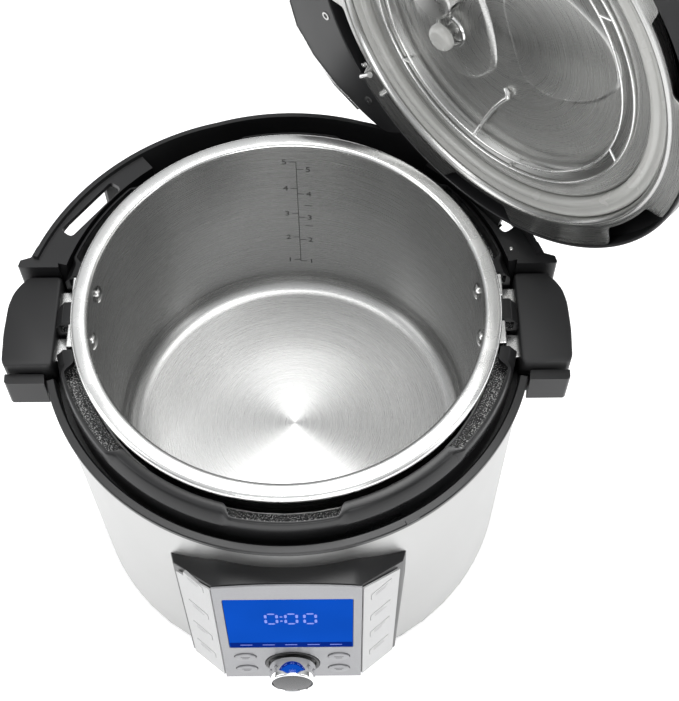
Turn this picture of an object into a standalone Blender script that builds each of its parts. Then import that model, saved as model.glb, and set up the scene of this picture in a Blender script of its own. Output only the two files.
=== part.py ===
"""Electric pressure cooker: base, lift-out pot and parked lid, as separate named pieces.

Sizes are in millimetres and become metres when a mesh is made. +Z is up, -Y is the front,
and the origin is on the cooker's vertical axis, on the surface that its feet stand on.
"""

import math

import bmesh
import bpy
from mathutils import Matrix, Vector

MM = 0.001
STEPS = 48          # facets of every large round piece, all in step so that thin gaps hold
SMALL_STEPS = 20    # facets of pins, holes and buttons
GAP = 0.3           # clearance between pieces that touch

# Inner pot
POT_RADIUS = 110.5          # inside
POT_WALL = 1.0
POT_HEIGHT = 153.4          # underside to rim top
POT_FLOOR = 5.4             # thickness of the layered base
POT_CORNER = 12.0
RIM_WIDTH = 9.0             # how far the rolled rim stands out from the wall
RIM_DEPTH = 6.0

# Base, from the bottom up
FOOT_HEIGHT = 4.0
FOOT_RADIUS = 10.0
FOOT_INSET = 23.46          # of each foot's centre, in from the shell
FOOT_STUD = 3.0
TRAY_FLOOR = 2.5
TRAY_WALL = 2.5
TRAY_HEIGHT = 14.0
POST_RADIUS = 5.0
POST_INSET = 13.5           # of each post's centre, in from the drum's wall
POWER_BOARD = (90.0, 48.0)
POWER_BOARD_RISE = 7.5      # above the tray's floor
POWER_BOARD_INSET = 52.6    # of the board's centre, in from the shell
SHELL_BOTTOM = 5.0
SHELL_WALL = 0.8
DRUM_FLOOR = 55.0
DRUM_WALL = 1.0
DRUM_CLEARANCE = 6.0        # air between the pot and the drum around it
PLATE_HEIGHT = 17.4
PLATE_RADIUS = 92.0
PLATE_BORE = 19.0
BRACKET_THICKNESS = 2.0
SENSOR_STEM = 3.0
SPRING_RADIUS = 8.0
SPRING_WIRE = 0.8

# Top ring and locking flange, outwards and down from the pot's rim
LUG_CLEARANCE = 0.8         # between the pot's rim and the flange lugs
FLANGE_TOP_DROP = 10.4      # flange top, below the rim top
FLANGE_WIDTH = 11.7
FLANGE_RIM = 2.7            # width of the flange's raised outer rim
LUG_THICKNESS = 3.5
LUG_SPACE = 7.5             # height under a lug
POCKETS = 6
POCKET_ANGLE = 30.0
POCKET_START = -165.0
TROUGH_WIDTH = 3.4
TROUGH_WALL = 1.8
RING_FLOOR = 2.5
RING_DEPTH = 33.0           # flange top to the ring's underside
LIP_DROP = 15.0             # front lip, below the flange top
LIP_THICKNESS = 3.4
SHELL_TUCK = 0.6            # how far the shell reaches up into the ring's lip
SKIRT_DROP = 27.0           # rear skirt bottom, below the flange top
SKIRT_WALL = 1.8
REAR_RISE = 2.5             # rear wall, above the flange top
REAR_WALL = 2.8
PLATFORM_ANGLES = (13.6, 52.0)
PLATE_SKIN = 3.2            # thickness of the rear platforms
SLOT_LENGTH = 44.0
SLOT_WIDTH = 8.5
SLOT_RADIUS = 137.15        # slot centre, from the axis
SLOT_AZIMUTH = 31.8
SLOT_DIRECTION = 127.4
BAR_DEPTH = 9.0             # height of the bar outside each slot

# Side handles of the base
HANDLE_REACH = 28.0         # beyond the flange's outer edge
HANDLE_FRONT = -31.0
HANDLE_REAR = 30.4
HANDLE_FLOOR_DROP = 25.0    # below the flange top
BLOCK_LENGTH = 8.8
RIB_INSET = 4.5             # outer end of the rear rib, in from the handle's outer edge
RIB_THICKNESS = 5.0

# Pot handles
STRAP_WIDTH = 14.7
STRAP_THICKNESS = 2.0
STRAP_ROWS = (16.0, -15.3)
STRAP_HIGH_DROP = 9.4       # strap top where it leaves the wall, below the rim top
STRAP_LOW_DROP = 25.4
STRAP_ROOM = 1.5            # free space on each side of a strap
GRIP_LENGTH = 29.0          # outwards from the flange
GRIP_HEIGHT = 17.0
RIVET_RADIUS = 3.2
RIVET_DROP = 16.2

# Control panel
PANEL_TILT = 6.0
PANEL_DEPTH = 17.4          # face centre, out from the shell
PANEL_BELOW_RING = 74.5     # face centre, below the ring's skirt
FACE_HALF_WIDTH = 41.0
FACE_HALF_HEIGHT = 59.8
FACE_ARCH = 3.0
OVERLAY = 1.2
OVERLAY_SEAT = 1.5
BEZEL_BORDER = 1.5
BEZEL_SKIN = 2.0
WING_TURN = 41.4
WING_TOP = (30.1, 46.3)
WING_BOTTOM = (27.9, -62.3)
KEY_ROWS_LEFT = (49.0, 15.0, -13.0, -38.0)
KEY_ROWS_RIGHT = (38.5, 12.0, -10.0, -35.0)
KEY_OUT = 14.0
KEY_SIZE = (15.0, 7.0)
WINDOW_HALF_WIDTH = 36.0
WINDOW_SPAN = (-17.6, 45.8)
BUTTON_COLUMN = 27.5
BUTTON_ROWS = (-30.1, -47.1)
BUTTON_SIZE = (12.5, 9.5)
BUTTON_TRAVEL = 1.0
DIAL_ROW = -40.1
DIAL_RADIUS = 13.75
DIAL_HEIGHT = 13.0
DIAL_RING = 16.0
SHAFT_RADIUS = 3.0
BOARD_DEPTH = 9.0
BOARD_THICKNESS = 1.6

# Mains inlet and condensation cup, at the back
INLET_HEIGHT = 38.0
INLET_BODY = (26.0, 20.0)
INLET_FLANGE = (36.0, 28.0)
CUP_ANGLE = 15.0
CUP_DEPTH = 19.0
CUP_HEIGHT = 46.0
CUP_WALL = 1.6
CUP_BELOW_RING = 7.5
HOLDER_WALL = 2.8
HOLDER_GAP = 0.45
CUP_GAP = 0.8

# Lid, standing in the right-hand slot, in its own frame: X level, Y up, Z out of its top
LID_DIRECTION = 45.0
LID_DISTANCE = 132.0
LID_SHIFT = -20.6
LID_LUG_RADIUS = 123.4
LID_NOTCH_RADIUS = 114.5
LID_COVER_WALL = 1.8
LID_COVER_RADIUS = 125.6
LID_STAND_GAP = 1.4         # cover edge, above the rear platform
LID_DOME = 46.0
LID_DOME_FLAT = 70.0
LID_RIDGE_RADIUS = 110.6
LID_NOTCHES = 6
LID_NOTCH_ANGLE = 25.0
LID_NOTCH_START = -93.0
PAN_WALL = 1.0
PAN_DEPTH = 11.0
PAN_RADIUS = 79.5
SEAL_INNER = 97.6
SEAL_OUTER = 108.2
FIN_LENGTH = 28.0
FIN_THICKNESS = 3.0
FIN_OFFSET = -10.8
FIN_REACH = 139.0
VALVE_PLACE = (46.0, 0.0)
FLOAT_PLACE = (34.0, -20.0)
RELEASE_PLACE = (50.0, 26.0)
FLOAT_PIN = 3.5
VALVE_STEM = 3.2
RACK_RADII = (87.0, 80.0)
RACK_WIRE = 1.1
RACK_LEVEL = 6.0 - RACK_WIRE - GAP

# Worked out from the sizes above
POT_OUTER = POT_RADIUS + POT_WALL
RIM_RADIUS = POT_OUTER + RIM_WIDTH
DRUM_INNER = POT_OUTER + DRUM_CLEARANCE
DRUM_OUTER = DRUM_INNER + DRUM_WALL
FLANGE_INNER = DRUM_OUTER + 0.8
LUG_INNER = RIM_RADIUS + LUG_CLEARANCE
FLANGE_OUTER = FLANGE_INNER + FLANGE_WIDTH
POCKET_RADIUS = FLANGE_OUTER - FLANGE_RIM
TROUGH_OUTER = FLANGE_OUTER + TROUGH_WIDTH
RING_WALL_OUTER = TROUGH_OUTER + TROUGH_WALL
SHELL_INNER = RING_WALL_OUTER + 0.4
SHELL_RADIUS = SHELL_INNER + SHELL_WALL
FOOT_SPREAD = (SHELL_INNER - FOOT_INSET) / math.sqrt(2.0)
POWER_BOARD_Z = FOOT_HEIGHT + TRAY_FLOOR + POWER_BOARD_RISE
POWER_BOARD_CENTRE = POWER_BOARD_INSET - SHELL_INNER
SKIRT_INNER = SHELL_RADIUS + 0.6
SKIRT_OUTER = SKIRT_INNER + SKIRT_WALL
PLATE_BOTTOM = DRUM_FLOOR + DRUM_WALL + GAP
PLATE_TOP = PLATE_BOTTOM + PLATE_HEIGHT
POT_BOTTOM = PLATE_TOP + GAP
RIM_TOP = POT_BOTTOM + POT_HEIGHT
FLANGE_TOP = RIM_TOP - FLANGE_TOP_DROP
RING_BOTTOM = FLANGE_TOP - RING_DEPTH
SHELF = RING_BOTTOM + RING_FLOOR
SKIRT_BOTTOM = FLANGE_TOP - SKIRT_DROP
LIP_TOP = FLANGE_TOP - LIP_DROP
SHELL_TOP = LIP_TOP - LIP_THICKNESS + SHELL_TUCK
FLANGE_FLOOR = FLANGE_TOP - LUG_THICKNESS - LUG_SPACE
HANDLE_FLOOR = FLANGE_TOP - HANDLE_FLOOR_DROP
STRAP_LOW = RIM_TOP - STRAP_LOW_DROP
STRAP_HIGH = RIM_TOP - STRAP_HIGH_DROP
HANDLE_OUTER = FLANGE_OUTER + HANDLE_REACH
RIB_REACH = HANDLE_OUTER - RIB_INSET
GRIP_INNER = FLANGE_OUTER
GRIP_OUTER = GRIP_INNER + GRIP_LENGTH
GRIP_FRONT = HANDLE_FRONT + 1.0
GRIP_REAR = HANDLE_REAR - 0.8
STRAP_STEP = DRUM_OUTER + 4.0   # where a strap steps down, from the axis
PANEL_CENTRE_Z = SKIRT_BOTTOM - PANEL_BELOW_RING
LID_HEIGHT = FLANGE_TOP + LID_COVER_RADIUS + LID_STAND_GAP
SPAN = 400.0                # longer than anything it cuts


# ---------------------------------------------------------------- building blocks


def remove_everything():
    for existing in list(bpy.data.objects):
        bpy.data.objects.remove(existing, do_unlink=True)


def make_material(name, colour, roughness, metallic):
    material = bpy.data.materials.new(name)
    material.use_nodes = True
    shader = material.node_tree.nodes["Principled BSDF"]
    shader.inputs["Base Color"].default_value = (*colour, 1.0)
    shader.inputs["Roughness"].default_value = roughness
    shader.inputs["Metallic"].default_value = metallic
    material.diffuse_color = (*colour, 1.0)
    return material


def make_materials():
    return {
        "steel": make_material("brushed_steel", (0.56, 0.56, 0.56), 0.32, 1.0),
        "polished": make_material("polished_steel", (0.72, 0.72, 0.72), 0.16, 1.0),
        "black": make_material("black_plastic", (0.018, 0.018, 0.019), 0.42, 0.0),
        "silicone": make_material("black_silicone", (0.012, 0.012, 0.013), 0.68, 0.0),
        "rubber": make_material("foot_rubber", (0.03, 0.03, 0.03), 0.85, 0.0),
        "aluminium": make_material("cast_aluminium", (0.5, 0.5, 0.5), 0.5, 1.0),
        "board": make_material("circuit_board", (0.02, 0.12, 0.05), 0.55, 0.0),
        "silver": make_material("silver_overlay", (0.38, 0.38, 0.39), 0.35, 0.6),
        "light": make_material("light_overlay", (0.72, 0.72, 0.72), 0.45, 0.0),
        "window": make_material("display_window", (0.02, 0.09, 0.75), 0.12, 0.0),
        "chrome": make_material("chrome", (0.75, 0.75, 0.76), 0.08, 1.0),
        "grey": make_material("dark_grey_plastic", (0.09, 0.09, 0.1), 0.35, 0.0),
        "seal": make_material("clear_silicone", (0.62, 0.62, 0.6), 0.25, 0.0),
        "smoke": make_material("smoked_plastic", (0.2, 0.2, 0.21), 0.3, 0.0),
    }


def add_object(name, bm, material, parent=None, place=(0.0, 0.0, 0.0), turn=None):
    """Make a node from a bmesh in millimetres, at a place in its parent's frame."""
    bmesh.ops.scale(bm, vec=Vector((MM, MM, MM)), verts=bm.verts)
    mesh = bpy.data.meshes.new(name)
    bm.to_mesh(mesh)
    bm.free()
    mesh.materials.append(material)
    mesh.shade_smooth()
    mesh.set_sharp_from_angle(angle=math.radians(35.0))
    made = bpy.data.objects.new(name, mesh)
    bpy.context.scene.collection.objects.link(made)
    if parent:
        made.parent = parent
    made.location = Vector(place) * MM
    if turn:
        made.rotation_euler = turn
    return made


def add_frame(name, matrix):
    empty = bpy.data.objects.new(name, None)
    empty.empty_display_size = 0.02
    bpy.context.scene.collection.objects.link(empty)
    empty.matrix_world = matrix
    return empty


def close_outward(bm):
    bmesh.ops.recalc_face_normals(bm, faces=bm.faces)
    return bm


def turned(outline, steps=STEPS):
    """Turn a closed outline of (radius, z) points about Z."""
    bm = bmesh.new()
    rows = []
    for radius, z in outline:
        if radius < 1e-6:
            rows.append([bm.verts.new((0.0, 0.0, z))])
            continue
        angles = [math.tau * i / steps for i in range(steps)]
        rows.append([bm.verts.new((radius * math.cos(a), radius * math.sin(a), z)) for a in angles])
    for row, following in zip(rows, rows[1:] + rows[:1]):
        if len(row) == 1 and len(following) == 1:
            continue
        for i in range(steps):
            k = (i + 1) % steps
            corners = [row[i % len(row)], following[i % len(following)],
                       following[k % len(following)], row[k % len(row)]]
            bm.faces.new(list(dict.fromkeys(corners)))
    return close_outward(bm)


def swept(sections, closed=True):
    """Join (azimuth, outline of (radius, z)) sections into a ring or a capped arc."""
    bm = bmesh.new()
    rows = []
    for azimuth, outline in sections:
        cos, sin = math.cos(math.radians(azimuth)), math.sin(math.radians(azimuth))
        rows.append([bm.verts.new((r * cos, r * sin, z)) for r, z in outline])
    pairs = list(zip(rows, rows[1:]))
    if closed:
        pairs.append((rows[-1], rows[0]))
    for row, following in pairs:
        for j in range(len(row)):
            k = (j + 1) % len(row)
            bm.faces.new((row[j], following[j], following[k], row[k]))
    if not closed:
        bm.faces.new(rows[0])
        bm.faces.new(rows[-1])
    bmesh.ops.triangulate(bm, faces=bm.faces)
    return close_outward(bm)


def arc_piece(outline, start, stop, step=360.0 / STEPS):
    count = max(2, round((stop - start) / step))
    azimuths = [start + (stop - start) * i / count for i in range(count + 1)]
    return swept([(azimuth, outline) for azimuth in azimuths], closed=False)


def loft(lower, upper):
    """Join two outlines of (x, y, z) points that have the same number of corners."""
    bm = bmesh.new()
    bottom = [bm.verts.new(point) for point in lower]
    top = [bm.verts.new(point) for point in upper]
    count = len(bottom)
    for i in range(count):
        k = (i + 1) % count
        bm.faces.new((bottom[i], bottom[k], top[k], top[i]))
    bm.faces.new(bottom)
    bm.faces.new(top)
    return close_outward(bm)


def prism(outline, low, high):
    """Extrude an outline of (x, y) points from one height to another."""
    return loft([(x, y, low) for x, y in outline], [(x, y, high) for x, y in outline])


def block(x0, x1, y0, y1, z0, z1):
    return prism([(x0, y0), (x1, y0), (x1, y1), (x0, y1)], z0, z1)


def rod(radius, low, high, place=(0.0, 0.0), steps=SMALL_STEPS):
    return prism(ellipse(radius, radius, place, steps), low, high)


def ellipse(half_width, half_height, place=(0.0, 0.0), steps=SMALL_STEPS):
    angles = [math.tau * i / steps for i in range(steps)]
    return [(place[0] + half_width * math.cos(a), place[1] + half_height * math.sin(a)) for a in angles]


def hull(points):
    bm = bmesh.new()
    for point in points:
        bm.verts.new(point)
    found = bmesh.ops.convex_hull(bm, input=bm.verts)
    loose = list({item for item in found["geom_interior"] + found["geom_unused"]
                  if isinstance(item, bmesh.types.BMVert)})
    bmesh.ops.delete(bm, geom=loose, context="VERTS")
    return close_outward(bm)


def moved(bm, matrix):
    bmesh.ops.transform(bm, matrix=matrix, verts=bm.verts)
    return close_outward(bm)


def combined(bm, tools, operation):
    """Join tool meshes to a mesh, or cut them out of it, with exact Booleans."""
    for tool in tools:
        objects = []
        for shape in (bm, tool):
            mesh = bpy.data.meshes.new("shape")
            shape.to_mesh(mesh)
            shape.free()
            helper = bpy.data.objects.new("shape", mesh)
            bpy.context.scene.collection.objects.link(helper)
            objects.append(helper)
        body, cutter = objects
        modifier = body.modifiers.new("combine", "BOOLEAN")
        modifier.operation = operation
        modifier.solver = "EXACT"
        modifier.object = cutter
        result = body.evaluated_get(bpy.context.evaluated_depsgraph_get())
        bm = bmesh.new()
        bm.from_mesh(result.to_mesh())
        result.to_mesh_clear()
        for helper in objects:
            mesh = helper.data
            bpy.data.objects.remove(helper, do_unlink=True)
            bpy.data.meshes.remove(mesh)
        bmesh.ops.remove_doubles(bm, verts=bm.verts, dist=1e-4)
    return bm


def joined(bm, *tools):
    return combined(bm, tools, "UNION")


def cut(bm, *tools):
    return combined(bm, tools, "DIFFERENCE")


def mirrored(bm):
    bmesh.ops.scale(bm, vec=Vector((-1.0, 1.0, 1.0)), verts=bm.verts)
    return close_outward(bm)


# ---------------------------------------------------------------- base


def corner_places(spread):
    return [(spread * sx, spread * sy) for sx in (-1, 1) for sy in (-1, 1)]


def base_tray():
    under = FOOT_HEIGHT
    floor = under + TRAY_FLOOR
    lip = SHELL_BOTTOM - GAP
    outer = SHELL_INNER - GAP
    top = floor + TRAY_HEIGHT
    bm = turned([
        (0.0, under), (SHELL_RADIUS - 1.5, under), (SHELL_RADIUS, lip), (outer, lip), (outer, top),
        (outer - TRAY_WALL, top), (outer - TRAY_WALL, floor), (0.0, floor),
    ])
    posts = [rod(POST_RADIUS, floor - 1.0, DRUM_FLOOR - GAP, place, 12)
             for place in corner_places((DRUM_OUTER - POST_INSET) / math.sqrt(2.0))]
    standoffs = [rod(3.0, floor - 1.0, POWER_BOARD_Z - GAP, place, 12) for place in board_corners()]
    bm = joined(bm, *posts, *standoffs)
    holes = [rod(FOOT_STUD + GAP, under - 1.0, floor + 1.0, place, 12) for place in corner_places(FOOT_SPREAD)]
    vents = []
    for i in range(6):
        x = -30.0 + 12.0 * i
        vents.append(block(x - 2.0, x + 2.0, -22.0, 22.0, under - 1.0, floor + 1.0))
    return cut(bm, *holes, *vents)



def board_corners():
    half_x = POWER_BOARD[0] / 2.0 - 6.0
    half_y = POWER_BOARD[1] / 2.0 - 5.0
    return [(x, POWER_BOARD_CENTRE + y) for x in (-half_x, half_x) for y in (-half_y, half_y)]


def foot():
    top = FOOT_HEIGHT - GAP
    return turned([
        (0.0, 0.0), (FOOT_RADIUS - 0.6, 0.0), (FOOT_RADIUS, 0.6), (FOOT_RADIUS - 1.0, top),
        (FOOT_STUD, top), (FOOT_STUD, FOOT_HEIGHT + TRAY_FLOOR + 1.5), (0.0, FOOT_HEIGHT + TRAY_FLOOR + 1.5),
    ], 16)


def outer_shell():
    bm = turned([
        (SHELL_INNER, SHELL_BOTTOM), (SHELL_RADIUS, SHELL_BOTTOM),
        (SHELL_RADIUS, SHELL_TOP), (SHELL_INNER, SHELL_TOP),
    ])
    notches = []
    for side in (-1.0, 1.0):
        inner, outer = sorted((side * 115.0, side * (SHELL_RADIUS + 20.0)))
        low = RING_BOTTOM - 0.6
        notches.append(block(inner, outer, HANDLE_FRONT - BLOCK_LENGTH - 2.0, HANDLE_REAR + 14.0, low, SPAN))
    half_x, half_z = INLET_BODY[0] / 2.0 + GAP, INLET_BODY[1] / 2.0 + GAP
    inlet = block(-half_x, half_x, 100.0, SPAN, INLET_HEIGHT - half_z, INLET_HEIGHT + half_z)
    panel_low = PANEL_CENTRE_Z - 35.0
    wiring = block(-24.0, 24.0, -SPAN, -100.0, panel_low, PANEL_CENTRE_Z + 25.0)
    return cut(bm, *notches, inlet, wiring)


def power_board():
    z = POWER_BOARD_Z
    half_x, half_y = POWER_BOARD[0] / 2.0, POWER_BOARD[1] / 2.0
    y = POWER_BOARD_CENTRE
    top = z + BOARD_THICKNESS
    bm = block(-half_x, half_x, y - half_y, y + half_y, z, top)
    transformer = block(-30.0, -6.0, y - 10.0, y + 11.0, top - 0.4, top + 19.0)
    relay = block(2.0, 17.0, y - 8.0, y + 10.0, top - 0.4, top + 15.0)
    capacitor = rod(6.0, top - 0.4, top + 20.0, (29.0, y), 16)
    return joined(bm, transformer, relay, capacitor)


def inner_housing():
    top = FLANGE_FLOOR - 0.3 - 3.3
    low = DRUM_FLOOR
    return turned([
        (PLATE_RADIUS - 12.0, low), (DRUM_OUTER - 4.0, low), (DRUM_OUTER, low + 4.0), (DRUM_OUTER, top),
        (DRUM_INNER, top), (DRUM_INNER, low + 4.4), (DRUM_INNER - 3.4, low + DRUM_WALL),
        (PLATE_RADIUS - 12.0, low + DRUM_WALL),
    ])


def heating_plate():
    foot_top = PLATE_BOTTOM + 7.7
    bm = turned([
        (PLATE_BORE, foot_top), (PLATE_RADIUS - 8.0, foot_top), (PLATE_RADIUS - 8.0, PLATE_BOTTOM),
        (PLATE_RADIUS, PLATE_BOTTOM), (PLATE_RADIUS, PLATE_TOP - 1.5), (PLATE_RADIUS - 1.5, PLATE_TOP),
        (PLATE_BORE, PLATE_TOP),
    ])
    terminals = [rod(4.0, PLATE_BOTTOM - 12.0, foot_top + 1.0, (x, 0.0), 12) for x in (-60.0, 60.0)]
    return joined(bm, *terminals)


def sensor_bracket():
    high = DRUM_FLOOR - GAP
    reach = PLATE_RADIUS - 4.0
    bm = block(-8.0, 8.0, -reach, reach, high - BRACKET_THICKNESS, high)
    return cut(bm, rod(SENSOR_STEM + GAP, 0.0, SPAN))


def thermal_sensor():
    top = PLATE_TOP
    radius = PLATE_BORE - GAP
    return turned([
        (0.0, DRUM_FLOOR - 8.0), (SENSOR_STEM, DRUM_FLOOR - 8.0), (SENSOR_STEM, top - 2.5),
        (radius - 1.6, top - 2.5), (radius - 1.6, top - 9.0), (radius, top - 9.0), (radius, top - 1.0),
        (radius - 1.0, top), (0.0, top),
    ], STEPS)


def sensor_spring():
    """A coil spring as a tube swept along a helix, between the bracket and the sensor."""
    low = DRUM_FLOOR + SPRING_WIRE
    high = PLATE_TOP - 2.5 - GAP - SPRING_WIRE
    turns, per_turn, sides = 4, 12, 5
    count = turns * per_turn
    bm = bmesh.new()
    rows = []
    for i in range(count + 1):
        angle = math.tau * i / per_turn
        z = low + (high - low) * i / count
        ring = []
        for j in range(sides):
            around = math.tau * j / sides
            radius = SPRING_RADIUS + SPRING_WIRE * math.cos(around)
            ring.append(bm.verts.new((radius * math.cos(angle), radius * math.sin(angle),
                                      z + SPRING_WIRE * math.sin(around))))
        rows.append(ring)
    for row, following in zip(rows, rows[1:]):
        for j in range(sides):
            k = (j + 1) % sides
            bm.faces.new((row[j], following[j], following[k], row[k]))
    bm.faces.new(rows[0])
    bm.faces.new(rows[-1])
    return close_outward(bm)


# ---------------------------------------------------------------- top ring and flange


def ring_start():
    """The inner corners that every section of the top ring shares."""
    inner = DRUM_OUTER + GAP
    return [(inner, RING_BOTTOM), (inner, SHELF)]


def front_section():
    top = LIP_TOP
    under = top - LIP_THICKNESS
    return ring_start() + [
        (TROUGH_OUTER, SHELF), (TROUGH_OUTER + 0.2, top - 1.0), (TROUGH_OUTER + 1.2, top),
        (SKIRT_OUTER - 0.6, top), (SKIRT_OUTER, top - 0.6), (SKIRT_OUTER, under),
        (SKIRT_INNER, under), (SKIRT_INNER, SHELL_TOP + 0.6), (RING_WALL_OUTER, SHELL_TOP + 0.6),
        (RING_WALL_OUTER, RING_BOTTOM),
    ]


def rear_radius(azimuth):
    """Outside of the rear wall: round at the back, wider towards the handles."""
    away = abs(azimuth - 90.0)
    return SKIRT_OUTER + 2.6 + 0.16 * max(0.0, away - 18.0)


def rear_section(azimuth):
    outer = rear_radius(azimuth)
    top = FLANGE_TOP + REAR_RISE
    return ring_start() + [
        (TROUGH_OUTER, SHELF), (TROUGH_OUTER + 0.4, SHELL_TOP + 2.0), (SKIRT_INNER + 0.4, SHELL_TOP + 8.0),
        (outer - REAR_WALL, top), (outer, top), (outer - 0.4, SKIRT_BOTTOM),
        (SKIRT_INNER, SKIRT_BOTTOM), (SKIRT_INNER, SHELL_TOP + 0.6), (RING_WALL_OUTER, SHELL_TOP + 0.6),
        (RING_WALL_OUTER, RING_BOTTOM),
    ]


def platform_section(azimuth):
    outer = rear_radius(azimuth)
    inner = FLANGE_OUTER + 0.6
    return ring_start() + [
        (inner, SHELF), (inner, FLANGE_TOP), (outer - REAR_WALL - 0.4, FLANGE_TOP),
        (outer - REAR_WALL, FLANGE_TOP + REAR_RISE), (outer, FLANGE_TOP + REAR_RISE),
        (outer - 0.4, SKIRT_BOTTOM), (outer - REAR_WALL, SKIRT_BOTTOM),
        (outer - REAR_WALL, FLANGE_TOP - PLATE_SKIN), (RING_WALL_OUTER, FLANGE_TOP - PLATE_SKIN),
        (RING_WALL_OUTER, RING_BOTTOM),
    ]


def handle_section():
    low, high = RING_BOTTOM, HANDLE_FLOOR
    return ring_start() + [
        (TROUGH_OUTER, SHELF), (TROUGH_OUTER + 0.4, SHELF + 2.0), (TROUGH_OUTER + 2.4, high - 1.1),
        (SKIRT_OUTER - 0.6, high - 0.6), (SKIRT_OUTER, high - 0.8), (SKIRT_OUTER, low + 0.6),
        (SKIRT_INNER, low + 0.4), (SHELL_RADIUS, low + 0.3), (SHELL_INNER, low + 0.2),
        (RING_WALL_OUTER, low),
    ]


def ring_outline(azimuth):
    """The section of the top ring at an azimuth, measured from the right-hand handle."""
    if azimuth > 90.0:
        azimuth = 180.0 - azimuth
    if azimuth < -90.0:
        azimuth = -180.0 - azimuth
    near, far = PLATFORM_ANGLES
    if azimuth < -14.0:
        return front_section()
    if azimuth < near:
        return handle_section()
    if azimuth < far:
        return platform_section(azimuth)
    return rear_section(azimuth)


def ring_azimuths():
    """Even steps, with a close pair where the section changes."""
    near, far = PLATFORM_ANGLES
    step = 360.0 / STEPS
    azimuths = {round(-180.0 + step * i, 3) for i in range(STEPS)}
    for change in (-14.0, near, far):
        for azimuth in (change, 180.0 - change):
            folded = (azimuth + 180.0) % 360.0 - 180.0
            azimuths |= {folded - 0.7, folded + 0.7}
    return sorted(azimuths)


def handle_pieces():
    """The right-hand handle: floor, front block and rear rib."""
    low = RING_BOTTOM
    inner = TROUGH_OUTER + 0.9
    outer = HANDLE_OUTER
    front_end = HANDLE_FRONT - BLOCK_LENGTH
    floor = prism([(inner, HANDLE_FRONT - 4.0), (outer - 7.0, HANDLE_FRONT - 4.0), (outer - 4.4, HANDLE_FRONT - 0.7),
                   (outer - 1.7, HANDLE_FRONT + 4.0), (outer - 0.5, 0.0), (outer - 3.0, HANDLE_REAR + 1.2),
                   (inner, HANDLE_REAR + 1.4)], low + 1.3, HANDLE_FLOOR)
    top = LIP_TOP
    foot = [(inner, front_end), (outer - 2.5, front_end), (outer - 1.0, front_end + 1.5),
            (outer - 1.0, HANDLE_FRONT - 0.5), (inner + 1.0, HANDLE_FRONT - 0.5)]
    head = [(inner + 0.6, front_end + 2.6), (outer - 1.6, front_end + 2.6), (outer - 0.2, front_end + 4.0),
            (outer, HANDLE_FRONT), (inner + 1.6, HANDLE_FRONT)]
    front = loft([(x, y, low + 0.8) for x, y in foot], [(x, y, top) for x, y in head])
    near = HANDLE_REAR + 0.6
    rib = [(FLANGE_OUTER + 1.0, near), (RIB_REACH, near), (RIB_REACH + 1.0, near + 1.0),
           (RIB_REACH, near + RIB_THICKNESS), (RIB_REACH - 6.0, near + RIB_THICKNESS + 2.0),
           (RIB_REACH - 9.0, near + 15.0), (FLANGE_OUTER + 4.0, near + 15.0)]
    rear = prism(rib, low + 1.1, FLANGE_TOP + 0.05)
    return [floor, front, rear]


def slot_frame():
    radians = math.radians(SLOT_AZIMUTH)
    place = Vector((SLOT_RADIUS * math.cos(radians), SLOT_RADIUS * math.sin(radians), 0.0))
    return Matrix.Translation(place) @ Matrix.Rotation(math.radians(SLOT_DIRECTION), 4, "Z")


def slot_cutters():
    """Cut the right-hand slot, and open the skirt under the bar that bounds it."""
    half_length, half_width = SLOT_LENGTH / 2.0, SLOT_WIDTH / 2.0
    upper = block(-half_length, half_length, -half_width, half_width, SHELL_TOP + 2.0, SPAN)
    shell_side = SLOT_RADIUS - SHELL_RADIUS - 1.8
    lower = block(-half_length, half_length, -half_width, shell_side, 0.0, SHELL_TOP + 3.0)
    window = block(2.0 - half_length, half_length - 2.0, -30.0, shell_side - 0.2, 0.5, FLANGE_TOP - BAR_DEPTH)
    return [moved(shape, slot_frame()) for shape in (upper, lower, window)]


def top_ring():
    bm = swept([(azimuth, ring_outline(azimuth)) for azimuth in ring_azimuths()])
    bm = joined(bm, *handle_pieces(), *[mirrored(piece) for piece in handle_pieces()])
    return cut(bm, *slot_cutters(), *[mirrored(piece) for piece in slot_cutters()])


def flange_outline(inner):
    """The flange's section, where its top plate reaches in to a radius."""
    leg = FLANGE_OUTER - 3.5
    underside = FLANGE_TOP - LUG_THICKNESS
    return [
        (FLANGE_OUTER, SHELF + GAP), (FLANGE_OUTER, FLANGE_FLOOR + 3.0), (FLANGE_OUTER - 1.2, FLANGE_TOP),
        (inner, FLANGE_TOP), (inner + 0.15, underside), (POCKET_RADIUS, underside),
        (POCKET_RADIUS, FLANGE_FLOOR), (FLANGE_INNER, FLANGE_FLOOR), (FLANGE_INNER, FLANGE_FLOOR - 3.0),
        (leg, FLANGE_FLOOR - 3.0), (leg, SHELF + GAP),
    ]


def locking_flange():
    lug = flange_outline(LUG_INNER)
    pocket = flange_outline(POCKET_RADIUS - 0.4)
    sections = []
    pitch = 360.0 / POCKETS
    step = 360.0 / STEPS
    for i in range(POCKETS):
        start = POCKET_START + pitch * i
        sections.append((start, lug))
        azimuths = [start + 1.6, start + step, start + 2 * step, start + 3 * step, start + POCKET_ANGLE - 1.6]
        sections += [(azimuth, pocket) for azimuth in azimuths]
        lug_azimuths = [start + POCKET_ANGLE + step * k for k in range(4)]
        sections += [(azimuth, lug) for azimuth in lug_azimuths]
    return cut(swept(sections), *strap_openings())


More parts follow.
